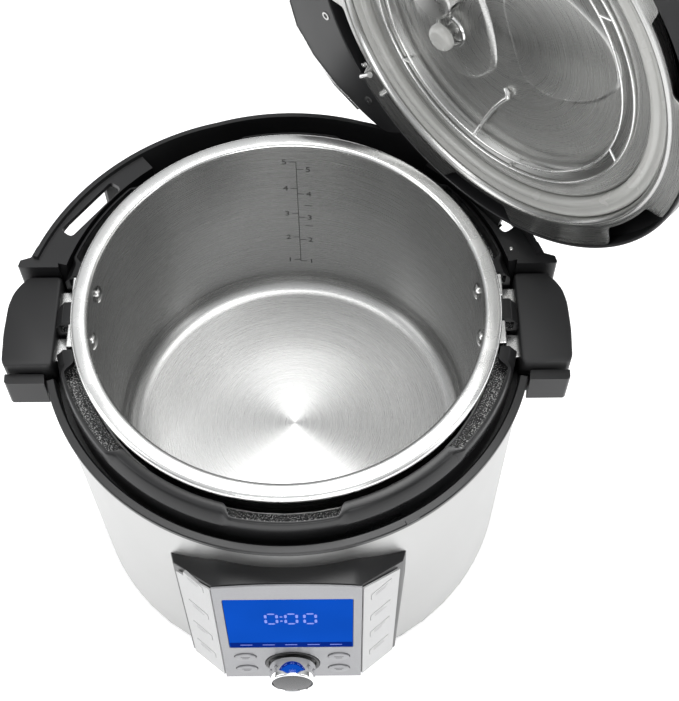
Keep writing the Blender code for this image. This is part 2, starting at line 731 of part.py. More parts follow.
def strap_openings():
    """Room for the pot's straps, in both sides of the flange."""
    openings = []
    half = STRAP_WIDTH / 2.0 + STRAP_ROOM
    for row in STRAP_ROWS:
        for side in (-1.0, 1.0):
            inner, outer = sorted((side * (DRUM_OUTER - 5.0), side * SPAN))
            high = STRAP_HIGH - STRAP_THICKNESS - 1.5
            openings.append(block(inner, outer, row - half, row + half, high, SPAN))
            inner, outer = sorted((side * (STRAP_STEP - 3.5), side * SPAN))
            low = STRAP_LOW - STRAP_THICKNESS - 2.5
            openings.append(block(inner, outer, row - half, row + half, low, high + 1.0))
    return openings


# ---------------------------------------------------------------- back of the base


def power_inlet():
    half_x, half_z = INLET_BODY[0] / 2.0, INLET_BODY[1] / 2.0
    wide_x, wide_z = INLET_FLANGE[0] / 2.0, INLET_FLANGE[1] / 2.0
    z = INLET_HEIGHT
    face = SHELL_RADIUS + 0.4
    bm = block(-half_x, half_x, face - 20.0, face + 0.5, z - half_z, z + half_z)
    bm = joined(bm, block(-wide_x, wide_x, face, face + 2.8, z - wide_z, z + wide_z))
    bm = cut(bm, block(-10.5, 10.5, face - 15.0, SPAN, z - 7.0, z + 7.0))
    pins = [block(x - 1.0, x + 1.0, face - 16.0, face - 1.0, z + dz - 2.2, z + dz + 2.2)
            for x, dz in ((-6.5, -2.0), (0.0, 2.4), (6.5, -2.0))]
    return joined(bm, *pins)


def cup_sizes():
    """Back radius, front radius, top and bottom of the condensation cup."""
    back = SHELL_RADIUS + HOLDER_GAP + HOLDER_WALL + CUP_GAP
    top = SKIRT_BOTTOM - CUP_BELOW_RING
    return back, back + CUP_DEPTH, top, top - CUP_HEIGHT


def rail_reach():
    back, front, _, _ = cup_sizes()
    return front * math.sin(math.radians(CUP_ANGLE)) + 0.6


def cup_holder():
    back, front, top, bottom = cup_sizes()
    inner = SHELL_RADIUS + HOLDER_GAP
    outer = inner + HOLDER_WALL
    spread = CUP_ANGLE + 4.0
    bm = arc_piece([(inner, bottom + 8.0), (outer, bottom + 8.0), (outer, top + 5.0), (inner, top + 5.0)],
                   90.0 - spread, 90.0 + spread)
    ledge = arc_piece([(inner + 1.0, top + 1.0), (front - 5.0, top + 1.0), (front - 5.0, top + 3.4),
                       (inner + 1.0, top + 3.4)], 90.0 - 6.0, 90.0 + 6.0)
    reach = rail_reach()
    root = wall_at(inner, reach) + 0.6
    rails = [block(*sorted((side * reach, side * (reach + 3.0))), root, front - 6.0,
                   top - 12.0, top - 4.0) for side in (-1.0, 1.0)]
    grooves = [block(*sorted((side * (reach - 1.0), side * (reach + 1.6))), outer + 0.2, SPAN,
                     top - 9.3, top - 6.4) for side in (-1.0, 1.0)]
    return cut(joined(bm, ledge, *rails), *grooves)


def condensation_cup():
    back, front, top, bottom = cup_sizes()
    bm = arc_piece([(back, bottom), (front - 2.0, bottom), (front, bottom + 2.0), (front, top), (back, top)],
                   90.0 - CUP_ANGLE, 90.0 + CUP_ANGLE)
    hollow = arc_piece([(back + CUP_WALL, bottom + CUP_WALL), (front - CUP_WALL, bottom + CUP_WALL),
                        (front - CUP_WALL, top + 5.0), (back + CUP_WALL, top + 5.0)],
                       90.0 - CUP_ANGLE + 0.8, 90.0 + CUP_ANGLE - 0.8)
    reach = rail_reach()
    half = back * math.sin(math.radians(CUP_ANGLE)) - 0.8
    runners = [block(*sorted((side * half, side * (reach + 1.2))), back + 3.0, front - 7.0,
                     top - 9.0, top - 6.8) for side in (-1.0, 1.0)]
    return cut(joined(bm, *runners), hollow)


# ---------------------------------------------------------------- inner pot


def inner_pot():
    low = POT_BOTTOM
    floor = low + POT_FLOOR
    top = RIM_TOP
    under = top - RIM_DEPTH
    corner = POT_CORNER

    def bend(centre_radius, centre_z, radius, first, last):
        angles = [math.radians(first + (last - first) * i / 3.0) for i in range(4)]
        return [(centre_radius + radius * math.cos(a), centre_z + radius * math.sin(a)) for a in angles]

    outside = bend(POT_OUTER - corner, low + corner, corner, -90.0, 0.0)
    inside = bend(POT_RADIUS - corner, floor + corner, corner, 0.0, -90.0)
    rim = [
        (POT_OUTER, under), (RIM_RADIUS - 1.2, under), (RIM_RADIUS, under + 1.2), (RIM_RADIUS, top - 2.2),
        (RIM_RADIUS - 1.8, top - 0.3), (RIM_RADIUS - 4.0, top), (POT_RADIUS + 2.0, top), (POT_RADIUS, top - 1.8),
    ]
    bm = turned([(0.0, low)] + outside + rim + inside + [(0.0, floor)])
    holes = []
    for row in STRAP_ROWS:
        hole = rod(RIVET_RADIUS + GAP, -SPAN, SPAN, steps=12)
        turn = Matrix.Translation((0.0, row, RIM_TOP - RIVET_DROP)) @ Matrix.Rotation(math.pi / 2.0, 4, "Y")
        holes.append(moved(hole, turn))
    return cut(bm, *holes)


def wall_at(radius, row):
    return math.sqrt(radius * radius - row * row)


def strap(row):
    """One bent strap in side view, from the rivet on the pot's wall out into the grip."""
    thick = STRAP_THICKNESS
    wall = POT_OUTER + GAP
    high, low = STRAP_HIGH, STRAP_LOW
    end = GRIP_OUTER - 12.0
    outline = [
        (wall, RIM_TOP - RIVET_DROP - 6.0), (wall + thick, RIM_TOP - RIVET_DROP - 6.0),
        (wall + thick, high - thick), (STRAP_STEP - thick, high - thick), (STRAP_STEP, low - thick),
        (end, low - thick), (end, low), (STRAP_STEP + thick * 0.8, low), (STRAP_STEP - 0.2, high), (wall, high),
    ]
    half = STRAP_WIDTH / 2.0
    return loft([(x, row - half, z) for x, z in outline], [(x, row + half, z) for x, z in outline])


def pot_bracket():
    """Two straps joined by a cross plate inside the grip, with rivet holes."""
    first, second = STRAP_ROWS
    end = GRIP_OUTER - 12.0
    tie = block(end - 8.0, end - 0.2, second, first, STRAP_LOW - STRAP_THICKNESS + 0.1, STRAP_LOW - 0.1)
    bm = joined(strap(first), tie, strap(second))
    holes = []
    for row in STRAP_ROWS:
        hole = rod(RIVET_RADIUS + GAP, 0.0, GRIP_INNER - 12.0, steps=12)
        turn = Matrix.Translation((0.0, row, RIM_TOP - RIVET_DROP)) @ Matrix.Rotation(math.pi / 2.0, 4, "Y")
        holes.append(moved(hole, turn))
    return cut(bm, *holes)


def rivet(row):
    """A rivet along X: domed head inside the pot, shank through the wall and the strap, tail."""
    inner = wall_at(POT_RADIUS, row) - 1.5
    tail = POT_OUTER + STRAP_THICKNESS + 2 * GAP + 0.2
    return turned([
        (0.0, inner - 2.0), (2.2, inner - 1.7), (RIVET_RADIUS + 1.8, inner - 0.1), (RIVET_RADIUS + 1.8, inner),
        (RIVET_RADIUS, inner), (RIVET_RADIUS, tail), (RIVET_RADIUS + 1.2, tail), (RIVET_RADIUS + 0.8, tail + 1.4),
        (0.0, tail + 1.6),
    ], 16)


def pot_grip():
    """The silicone grip over the bracket's outer end, with a corner cut back at the rear."""
    low = HANDLE_FLOOR + 0.6
    top = low + GRIP_HEIGHT
    inner, outer = GRIP_INNER, GRIP_OUTER
    outline = [
        (inner, GRIP_FRONT), (outer - 3.0, GRIP_FRONT), (outer, GRIP_FRONT + 5.0), (outer + 1.0, -8.0),
        (outer + 0.4, 10.0), (outer - 1.6, 18.5), (outer - 5.5, 25.0), (outer - 10.0, GRIP_REAR), (inner, GRIP_REAR),
    ]
    centre = Vector(((inner + outer) / 2.0, (GRIP_FRONT + GRIP_REAR) / 2.0))

    def shrunk(amount):
        points = []
        for x, y in outline:
            offset = Vector((x, y)) - centre
            points.append((x - amount * math.copysign(1.0, offset.x), y - amount * math.copysign(1.0, offset.y)))
        return points

    middle = prism(outline, low + 1.5, top - 2.5)
    bevel_top = loft([(x, y, top - 2.6) for x, y in outline], [(x, y, top) for x, y in shrunk(2.2)])
    bevel_low = loft([(x, y, low) for x, y in shrunk(1.2)], [(x, y, low + 1.6) for x, y in outline])
    bm = joined(middle, bevel_top, bevel_low)
    half = STRAP_WIDTH / 2.0 + GAP
    end = GRIP_OUTER - 12.0 + GAP
    first, second = STRAP_ROWS
    z0, z1 = STRAP_LOW - STRAP_THICKNESS - GAP, STRAP_LOW + GAP
    sockets = [block(0.0, end, row - half, row + half, z0, z1) for row in STRAP_ROWS]
    tie = block(end - 8.0 - 2.0 * GAP, end, second, first, z0, z1)
    return cut(bm, *sockets, tie)


# ---------------------------------------------------------------- control panel


def panel_matrix():
    """Face frame: X right, Y up along the face, Z out of it."""
    tilt = math.radians(PANEL_TILT)
    up = Vector((0.0, math.sin(tilt), math.cos(tilt)))
    out = Vector((0.0, -math.cos(tilt), math.sin(tilt)))
    matrix = Matrix((Vector((1.0, 0.0, 0.0)), up, out)).transposed().to_4x4()
    matrix.translation = Vector((0.0, -(SHELL_RADIUS + PANEL_DEPTH), PANEL_CENTRE_Z))
    return matrix


def wing_matrix(side):
    """Wing frame at the face's edge: the face frame turned back about its Y axis."""
    hinge = Matrix.Translation((side * FACE_HALF_WIDTH, 0.0, 0.0))
    return panel_matrix() @ hinge @ Matrix.Rotation(side * math.radians(WING_TURN), 4, "Y")


def face_outline(border):
    half_x = FACE_HALF_WIDTH + border
    half_y = FACE_HALF_HEIGHT + border
    arch = [(half_x * (1.0 - i / 3.0), half_y + FACE_ARCH * (1.0 - (1.0 - i / 3.0) ** 2)) for i in range(7)]
    return [(-half_x, -half_y), (half_x, -half_y)] + arch


def wing_outline(side, border):
    top, bottom = WING_TOP, WING_BOTTOM
    points = [(0.9, -FACE_HALF_HEIGHT + 0.5 - border), (bottom[0] + border, bottom[1] - border),
              (top[0] + border, top[1] + border), (0.9, FACE_HALF_HEIGHT - 0.5 + border)]
    return [(side * x, y) for x, y in points]


def panel_bezel():
    """A black housing from the overlays back to the round shell."""
    seat = -OVERLAY_SEAT
    points = [panel_matrix() @ Vector((x, y, seat)) for x, y in face_outline(BEZEL_BORDER - 2.0)]
    for side in (-1.0, 1.0):
        points += [wing_matrix(side) @ Vector((x, y, seat)) for x, y in wing_outline(side, BEZEL_BORDER)[1:3]]
    top = PANEL_CENTRE_Z + FACE_HALF_HEIGHT
    bottom = PANEL_CENTRE_Z - FACE_HALF_HEIGHT
    behind = -(SHELL_RADIUS - 27.0)
    for side in (-1.0, 1.0):
        points += [Vector((side * 38.0, behind, top + 0.5)), Vector((side * 68.0, behind, top - 21.0)),
                   Vector((side * 60.0, behind, bottom - 11.0)), Vector((side * 38.0, behind, bottom - 15.0))]
    bm = hull(points)
    drum = rod(SHELL_RADIUS + GAP, -SPAN, SPAN, steps=STEPS)
    cavity = block(-36.0, 36.0, -54.0, 50.0, -80.0, seat - BEZEL_SKIN)
    bm = cut(bm, moved(cavity, panel_matrix()), drum)
    bosses = [rod(2.5, -BOARD_DEPTH + GAP, seat - 1.0, place, 12) for place in control_board_corners()]
    ring = turned([(DIAL_RING - 1.8, seat - 1.0), (DIAL_RING, seat - 1.0), (DIAL_RING, 0.5),
                   (DIAL_RING - 1.8, 0.5)], 32)
    ring = moved(ring, Matrix.Translation((0.0, DIAL_ROW, 0.0)))
    bm = joined(bm, *[moved(tool, panel_matrix()) for tool in (*bosses, ring)])
    openings = [rod(7.0 + GAP, -20.0, seat + 0.4, (0.0, DIAL_ROW))]
    openings += [prism(button_outline(GAP, place), -20.0, seat + 1.0) for place in button_places()]
    bm = cut(bm, *[moved(tool, panel_matrix()) for tool in openings])
    for side, rows in ((-1.0, KEY_ROWS_LEFT), (1.0, KEY_ROWS_RIGHT)):
        pockets = [prism(key_outline(side, row, GAP), seat - 1.2, seat + 1.0) for row in rows]
        bm = cut(bm, *[moved(pocket, wing_matrix(side)) for pocket in pockets])
    return bm


def control_board_corners():
    return [(x, y) for x in (-30.0, 30.0) for y in (-19.0, 42.0)]


def button_places():
    return [(side * BUTTON_COLUMN, row) for row in BUTTON_ROWS for side in (-1.0, 1.0)]


def button_outline(clearance, place=(0.0, 0.0)):
    return ellipse(BUTTON_SIZE[0] / 2.0 + clearance, BUTTON_SIZE[1] / 2.0 + clearance, place)


def key_outline(side, row, clearance):
    half_x, half_y = KEY_SIZE[0] / 2.0 + clearance, KEY_SIZE[1] / 2.0 + clearance
    x = side * KEY_OUT
    return [(x - half_x, row - half_y), (x + half_x, row - half_y), (x + half_x, row + half_y),
            (x - half_x, row + half_y)]


def panel_fascia():
    bm = prism(face_outline(-0.3), -OVERLAY, 0.0)
    low, high = WINDOW_SPAN
    tools = [block(-WINDOW_HALF_WIDTH, WINDOW_HALF_WIDTH, low, high, -5.0, 5.0)]
    tools.append(rod(DIAL_RING + GAP, -5.0, 5.0, (0.0, DIAL_ROW), 32))
    tools += [prism(button_outline(GAP, place), -5.0, 5.0) for place in button_places()]
    return cut(bm, *tools)


def panel_wing(side, rows):
    bm = prism(wing_outline(side, 0.0), -OVERLAY, 0.0)
    return cut(bm, *[prism(key_outline(side, row, GAP), -5.0, 5.0) for row in rows])


def lcd_window():
    low, high = WINDOW_SPAN
    half = WINDOW_HALF_WIDTH - GAP
    return block(-half, half, low + GAP, high - GAP, -OVERLAY, -0.1)


def control_board():
    bm = block(-34.0, 34.0, -50.0, 46.0, -BOARD_DEPTH - BOARD_THICKNESS, -BOARD_DEPTH)
    encoder = rod(7.0, -BOARD_DEPTH - 0.5, -OVERLAY_SEAT - BEZEL_SKIN - 0.8, (0.0, DIAL_ROW))
    bore = rod(SHAFT_RADIUS + GAP, -20.0, 5.0, (0.0, DIAL_ROW))
    return cut(joined(bm, encoder), bore)


def push_button():
    """An oval cap with a stem that stops short of the board by its travel."""
    return prism(button_outline(0.0), -BOARD_DEPTH + BUTTON_TRAVEL + 0.6, 0.9)


def program_key():
    half_x, half_y = KEY_SIZE[0] / 2.0, KEY_SIZE[1] / 2.0
    return block(-half_x, half_x, -half_y, half_y, -OVERLAY - 0.5, 0.25)


def dial_shaft():
    return rod(SHAFT_RADIUS, -BOARD_DEPTH + 0.5, 8.0)


def dial_knob():
    low, high, radius = 1.2, DIAL_HEIGHT, DIAL_RADIUS
    bore = SHAFT_RADIUS + GAP
    return turned([
        (bore, low), (radius - 0.4, low), (radius, low + 0.5), (radius, high - 0.7), (radius - 0.7, high),
        (radius - 1.5, high), (radius - 1.8, high - 2.8), (0.0, high - 2.8), (0.0, 8.0 + GAP), (bore, 8.0 + GAP),
    ], 32)


def dial_cap():
    high, radius = DIAL_HEIGHT, DIAL_RADIUS - 1.8 - GAP
    low = high - 2.8 + GAP
    return turned([(0.0, low), (radius, low), (radius, high - 0.9), (radius - 1.0, high - 0.3), (0.0, high)], 32)


# ---------------------------------------------------------------- lid, in its own frame


def lid_matrix():
    direction = math.radians(LID_DIRECTION)
    out = Vector((math.cos(direction), math.sin(direction), 0.0))
    level = Vector((-math.sin(direction), math.cos(direction), 0.0))
    matrix = Matrix((level, Vector((0.0, 0.0, 1.0)), out)).transposed().to_4x4()
    matrix.translation = out * LID_DISTANCE + level * LID_SHIFT + Vector((0.0, 0.0, LID_HEIGHT))
    return matrix


def polar(radius, angle):
    return radius * math.cos(math.radians(angle)), radius * math.sin(math.radians(angle))


def lid_pan():
    edge, ridge = LID_LUG_RADIUS, LID_RIDGE_RADIUS
    groove = SEAL_OUTER + GAP
    step = SEAL_INNER - GAP
    depth = PAN_DEPTH
    thick = PAN_WALL
    under = [
        (edge, -2.0), (ridge + 1.8, -0.6), (ridge, -1.4), (groove + 0.4, -0.4), (groove, 0.4), (groove, 9.5),
        (step, 9.5), (step - 0.3, 6.0), (PAN_RADIUS + 8.5, 6.0), (PAN_RADIUS, depth), (0.0, depth + 0.6),
    ]
    over = [
        (0.0, depth + 0.6 + thick), (PAN_RADIUS + 0.4, depth + thick), (PAN_RADIUS + 8.8, 6.0 + thick),
        (step - 0.3 - thick, 6.0 + thick), (step - thick, 9.5 + thick), (groove + thick, 9.5 + thick),
        (groove + thick, 0.6), (ridge + 1.8, 0.4), (edge, -1.0),
    ]
    bm = turned(under + over)
    notches = []
    for i in range(LID_NOTCHES):
        centre = LID_NOTCH_START + 360.0 / LID_NOTCHES * i
        half = LID_NOTCH_ANGLE / 2.0
        notch = [polar(LID_NOTCH_RADIUS + 2.0, centre - half - 1.5), polar(edge + 4.0, centre - half - 3.0),
                 polar(edge + 6.0, centre), polar(edge + 4.0, centre + half + 3.0),
                 polar(LID_NOTCH_RADIUS + 2.0, centre + half + 1.5), polar(LID_NOTCH_RADIUS, centre + half - 2.0),
                 polar(LID_NOTCH_RADIUS, centre), polar(LID_NOTCH_RADIUS, centre - half + 2.0)]
        notches.append(prism(notch, -8.0, 4.0))
    valve_holes = [rod(6.2, 0.0, 30.0, VALVE_PLACE), rod(FLOAT_PIN + 0.4, 0.0, 30.0, FLOAT_PLACE)]
    return cut(bm, *notches, *valve_holes)



def wing_points(outward):
    """The outer edge of a lid wing, pushed outward by a distance."""
    knots = [(152.0, -20.5), (164.0, -25.0), (167.0, -31.0), (164.0, -38.0), (157.0, -46.0), (149.0, -53.0),
             (143.5, -58.0)]
    return [polar(radius + outward, angle) for radius, angle in knots]


def lid_wing():
    inner = LID_COVER_RADIUS - 0.9
    arc = [polar(inner, angle) for angle in (-64.0, -56.0, -48.0, -40.0, -32.0, -24.0, -18.0)]
    low, high = -2.5, 17.0
    plate = wing_points(0.0) + [polar(138.0, -61.5)] + arc
    return prism(plate, low, high)


def lid_fin():
    half = FIN_LENGTH / 2.0
    x0, x1 = FIN_OFFSET - half, FIN_OFFSET + half
    skirt = LID_COVER_RADIUS - 0.9
    points = [(x0, -FIN_REACH + 4.0), (x0 + 4.0, -FIN_REACH), (x1 - 4.0, -FIN_REACH), (x1, -FIN_REACH + 4.0)]
    points += [(x, -math.sqrt(skirt * skirt - x * x)) for x in (x1, x1 - 9.0, x1 - 18.0, x0)]
    return prism(points, 0.0, FIN_THICKNESS)


def half_turn(bm):
    return moved(bm, Matrix.Rotation(math.pi, 4, "Z"))


def lid_cover():
    outer, inner = LID_COVER_RADIUS, LID_COVER_RADIUS - LID_COVER_WALL
    dome, flat = LID_DOME, LID_DOME_FLAT
    outside = [(outer, -2.5), (outer, 7.5), (outer - 2.6, 11.0), (118.0, 26.0), (96.0, dome - 6.0), (flat, dome),
               (0.0, dome)]
    inside = [(0.0, dome - 2.0), (flat - 0.4, dome - 2.0), (95.0, dome - 8.0), (116.4, 25.0), (120.6, 11.0),
              (inner, 7.0), (inner, -2.5)]
    bm = turned(outside + inside)
    bm = joined(bm, lid_wing(), half_turn(lid_wing()), lid_fin(), half_turn(lid_fin()))
    holes = [rod(FLOAT_PIN + 0.4, 30.0, SPAN, FLOAT_PLACE), rod(6.0 + GAP, 30.0, SPAN, RELEASE_PLACE),
             rod(VALVE_STEM + 0.6, 30.0, SPAN, VALVE_PLACE)]
    return cut(bm, *holes)



def wing_trim():
    """A thin strip that follows a wing's outer edge."""
    near = wing_points(GAP)[1:-1]
    far = wing_points(GAP + 1.3)[1:-1]
    return prism(far + near[::-1], -1.5, 14.0)


def sealing_ring():
    low, high = 1.8, 9.2
    return turned([
        (SEAL_INNER + 1.6, low), (SEAL_OUTER - 1.6, low), (SEAL_OUTER, low + 1.6), (SEAL_OUTER, high),
        (SEAL_INNER, high), (SEAL_INNER, low + 1.6),
    ])



def wire_ring(radius):
    outline = [(radius + RACK_WIRE * math.cos(math.tau * i / 5), RACK_LEVEL + RACK_WIRE * math.sin(math.tau * i / 5))
               for i in range(5)]
    return turned(outline)


def ring_rack():
    outer, inner = RACK_RADII
    links = []
    for i in range(6):
        link = block(inner, outer, -0.8, 0.8, RACK_LEVEL - 0.8, RACK_LEVEL + 0.8)
        links.append(moved(link, Matrix.Rotation(math.tau * (i + 0.25) / 6, 4, "Z")))
    return joined(wire_ring(outer), *links, wire_ring(inner))


def lid_handle():
    """An arched grip across the middle of the cover."""
    foot = LID_DOME + GAP
    outline = [(-56.0, foot), (-40.0, foot), (-30.0, foot + 12.0), (30.0, foot + 12.0), (40.0, foot), (56.0, foot),
               (54.0, foot + 14.0), (40.0, foot + 24.0), (-40.0, foot + 24.0), (-54.0, foot + 14.0)]
    bm = loft([(a, -14.0, z) for a, z in outline], [(a, 14.0, z) for a, z in outline])
    return moved(bm, Matrix.Rotation(math.radians(75.0), 4, "Z"))


def anti_block_shield():
    """A slotted cup under the pan, with the steam pipe that rises through it."""
    low, high = 3.5, PAN_DEPTH - GAP
    pipe = VALVE_STEM + 0.5
    bm = turned([
        (0.0, low), (13.0, low), (14.0, low + 1.0), (14.0, high), (12.6, high), (12.6, low + 1.5),
        (pipe + 2.0, low + 1.5), (pipe + 2.0, 26.0), (pipe, 26.0), (pipe, low + 1.5), (0.0, low + 1.5),
    ], 24)
    slots = [moved(block(11.0, 16.0, -1.2, 1.2, low + 2.5, high + 1.0),
                   Matrix.Rotation(math.tau * i / 8, 4, "Z")) for i in range(8)]
    return cut(bm, *slots)


def steam_valve():
    low = LID_DOME + GAP
    return turned([
        (0.0, 20.0), (VALVE_STEM, 20.0), (VALVE_STEM, low), (13.0, low), (14.0, low + 1.5), (12.0, low + 13.0),
        (10.5, low + 14.5), (0.0, low + 14.5),
    ], 24)


def release_button():
    return turned([(0.0, LID_DOME - 6.0), (6.0, LID_DOME - 6.0), (6.0, LID_DOME + 4.0), (5.2, LID_DOME + 4.8),
                   (0.0, LID_DOME + 5.0)], 20)


def float_valve():
    return turned([(0.0, 0.6), (FLOAT_PIN, 0.6), (FLOAT_PIN, LID_DOME + 0.6), (FLOAT_PIN - 0.8, LID_DOME + 1.4),
                   (0.0, LID_DOME + 1.4)], 16)


def float_cap():
    low, bore = -1.0, FLOAT_PIN + GAP
    return turned([
        (0.0, low), (6.6, low), (7.8, low + 1.4), (7.8, 3.4), (6.4, 4.4), (bore, 4.4), (bore, 0.6 - GAP),
        (0.0, 0.6 - GAP),
    ], 24)


def lock_pin():
    """A short sprung pin that lies along a radius, under the edge of the pan."""
    return rod(1.8, 0.0, 9.0, steps=12)


# ---------------------------------------------------------------- assembly


def add_base(materials):
    black, steel = materials["black"], materials["steel"]
    add_object("base_tray", base_tray(), black)
    names = ("foot_rear_left", "foot_front_left", "foot_rear_right", "foot_front_right")
    places = [(-1, 1), (-1, -1), (1, 1), (1, -1)]
    for name, (sx, sy) in zip(names, places):
        add_object(name, foot(), materials["rubber"], place=(sx * FOOT_SPREAD, sy * FOOT_SPREAD, 0.0))
    add_object("outer_shell", outer_shell(), steel)
    add_object("power_board", power_board(), materials["board"])
    add_object("inner_housing", inner_housing(), steel)
    add_object("heating_plate", heating_plate(), materials["aluminium"])
    add_object("sensor_bracket", sensor_bracket(), steel)
    add_object("sensor_spring", sensor_spring(), steel)
    add_object("thermal_sensor", thermal_sensor(), materials["aluminium"])
    add_object("top_ring", top_ring(), black)
    add_object("locking_flange", locking_flange(), black)
    add_object("power_inlet", power_inlet(), black)
    add_object("cup_holder", cup_holder(), black)
    add_object("condensation_cup", condensation_cup(), materials["smoke"])


def add_pot(materials):
    add_object("inner_pot", inner_pot(), materials["polished"])
    for label, side in (("right", 1.0), ("left", -1.0)):
        bracket, grip = pot_bracket(), pot_grip()
        if side < 0:
            bracket, grip = mirrored(bracket), mirrored(grip)
        add_object(f"bracket_{label}", bracket, materials["steel"])
        add_object(f"grip_{label}", grip, materials["silicone"])
        for place, row in zip(("rear", "front"), STRAP_ROWS):
            add_object(f"rivet_{label}_{place}", rivet(row), materials["polished"],
                       place=(0.0, row, RIM_TOP - RIVET_DROP), turn=(0.0, side * math.pi / 2.0, 0.0))


def add_panel(materials):
    face = add_frame("panel_frame", scaled(panel_matrix()))
    add_object("panel_bezel", panel_bezel(), materials["black"])
    add_object("panel_fascia", panel_fascia(), materials["silver"], face)
    add_object("lcd_window", lcd_window(), materials["window"], face)
    add_object("control_board", control_board(), materials["board"], face)
    names = ("button_upper_left", "button_upper_right", "button_lower_left", "button_lower_right")
    for name, (x, y) in zip(names, button_places()):
        add_object(name, push_button(), materials["silver"], face, (x, y, 0.0))
    for side, label, rows in ((-1.0, "left", KEY_ROWS_LEFT), (1.0, "right", KEY_ROWS_RIGHT)):
        wing = add_frame(f"wing_frame_{label}", scaled(wing_matrix(side)))
        add_object(f"wing_{label}", panel_wing(side, rows), materials["light"], wing)
        for number, row in enumerate(rows, 1):
            add_object(f"key_{label}_{number}", program_key(), materials["light"], wing, (side * KEY_OUT, row, 0.0))
    dial = (0.0, DIAL_ROW, 0.0)
    add_object("dial_shaft", dial_shaft(), materials["steel"], face, dial)
    add_object("dial_knob", dial_knob(), materials["chrome"], face, dial)
    add_object("dial_cap", dial_cap(), materials["grey"], face, dial)


def add_lid(materials):
    lid = add_frame("lid_frame", scaled(lid_matrix()))
    black = materials["black"]
    add_object("lid_cover", lid_cover(), black, lid)
    add_object("lid_pan", lid_pan(), materials["steel"], lid)
    add_object("sealing_ring", sealing_ring(), materials["seal"], lid)
    add_object("ring_rack", ring_rack(), materials["polished"], lid)
    add_object("lid_handle", lid_handle(), black, lid)
    add_object("lid_trim_right", wing_trim(), materials["silver"], lid)
    add_object("lid_trim_left", half_turn(wing_trim()), materials["silver"], lid)
    add_object("anti_block_shield", anti_block_shield(), materials["polished"], lid, (*VALVE_PLACE, 0.0))
    add_object("steam_valve", steam_valve(), black, lid, (*VALVE_PLACE, 0.0))
    add_object("release_button", release_button(), materials["grey"], lid, (*RELEASE_PLACE, 0.0))
    add_object("float_valve", float_valve(), materials["polished"], lid, (*FLOAT_PLACE, 0.0))
    add_object("float_cap", float_cap(), materials["seal"], lid, (*FLOAT_PLACE, 0.0))
    x, y = polar(LID_RIDGE_RADIUS + 2.2, -45.0)
    pin = add_object("lock_pin", lock_pin(), materials["polished"], lid, (x, y, -4.0))
    pin.rotation_euler = (0.0, math.pi / 2.0, math.radians(-45.0))


def scaled(matrix):
    """A frame that is given in millimetres, with its place in metres."""
    result = matrix.copy()
    result.translation = matrix.translation * MM
    return result


def main():
    remove_everything()
    materials = make_materials()
    add_base(materials)
    add_pot(materials)
    add_panel(materials)
    add_lid(materials)
    bpy.context.view_layer.update()


main()
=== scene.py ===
"""Looks of the electric pressure cooker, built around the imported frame.

Lengths below are in millimetres and become metres when a mesh is made. Places come from the
frame's own boxes, so a piece stays with the solid that it stands for.
"""

import math

import bmesh
import bpy
from mathutils import Matrix, Vector, noise


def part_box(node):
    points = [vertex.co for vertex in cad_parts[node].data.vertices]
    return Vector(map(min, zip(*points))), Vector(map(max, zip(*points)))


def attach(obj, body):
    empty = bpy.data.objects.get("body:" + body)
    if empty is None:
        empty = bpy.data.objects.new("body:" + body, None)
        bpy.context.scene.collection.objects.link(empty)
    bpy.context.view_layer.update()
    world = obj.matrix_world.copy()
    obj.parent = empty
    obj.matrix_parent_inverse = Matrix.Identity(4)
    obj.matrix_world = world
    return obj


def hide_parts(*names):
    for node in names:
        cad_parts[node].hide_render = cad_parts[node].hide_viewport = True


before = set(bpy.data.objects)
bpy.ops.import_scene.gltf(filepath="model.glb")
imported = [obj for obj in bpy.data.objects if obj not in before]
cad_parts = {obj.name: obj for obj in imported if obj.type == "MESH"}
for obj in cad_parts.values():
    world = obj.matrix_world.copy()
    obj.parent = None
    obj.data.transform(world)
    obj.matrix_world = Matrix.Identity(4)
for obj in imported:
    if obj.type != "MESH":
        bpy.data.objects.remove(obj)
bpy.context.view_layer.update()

MM = 0.001
ROUND = 192         # facets of the large round pieces


def box_mm(node):
    low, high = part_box(node)
    return low / MM, high / MM


# ---------------------------------------------------------------- sizes, from the frame

pot_low, pot_high = box_mm("inner_pot")
flange_low, flange_high = box_mm("locking_flange")
ring_low, ring_high = box_mm("top_ring")
shell_low, shell_high = box_mm("outer_shell")
grip_low, grip_high = box_mm("grip_right")
drum_low, drum_high = box_mm("inner_housing")

RIM_RADIUS = pot_high.x
RIM_TOP = pot_high.z
RIM_WIDTH = 10.0
RIM_DEPTH = 6.0
POT_RADIUS = RIM_RADIUS - RIM_WIDTH
POT_FLOOR = pot_low.z + 5.4
POT_CORNER = 12.0
FLANGE_OUTER = flange_high.x
FLANGE_TOP = flange_high.z
FLANGE_LOW = flange_low.z
LUG_INNER = RIM_RADIUS + 0.8
POCKET_RADIUS = FLANGE_OUTER - 2.7
LUG_UNDER = FLANGE_TOP - 3.5
POCKET_FLOOR = LUG_UNDER - 7.5
POCKETS = 6
POCKET_START = -165.0
POCKET_ANGLE = 30.0
SHELL_RADIUS = shell_high.x
SHELL_TOP = shell_high.z
RING_BOTTOM = ring_low.z
SHELF = RING_BOTTOM + 2.5
RING_INNER = drum_high.x + 0.3
TROUGH_OUTER = FLANGE_OUTER + 3.4
RING_WALL = TROUGH_OUTER + 1.8
SKIRT_INNER = SHELL_RADIUS + 0.6
SKIRT_OUTER = SKIRT_INNER + 1.8
SKIRT_BOTTOM = FLANGE_TOP - 27.0
LIP = FLANGE_TOP - 15.0
LIP_UNDER = LIP - 3.4
REAR_TOP = ring_high.z
HANDLE_OUTER = ring_high.x
HANDLE_FLOOR = FLANGE_TOP - 25.0
HANDLE_FRONT = -31.0
HANDLE_REAR = 30.4
BLOCK_LENGTH = 8.8
RIB_REACH = HANDLE_OUTER - 4.5
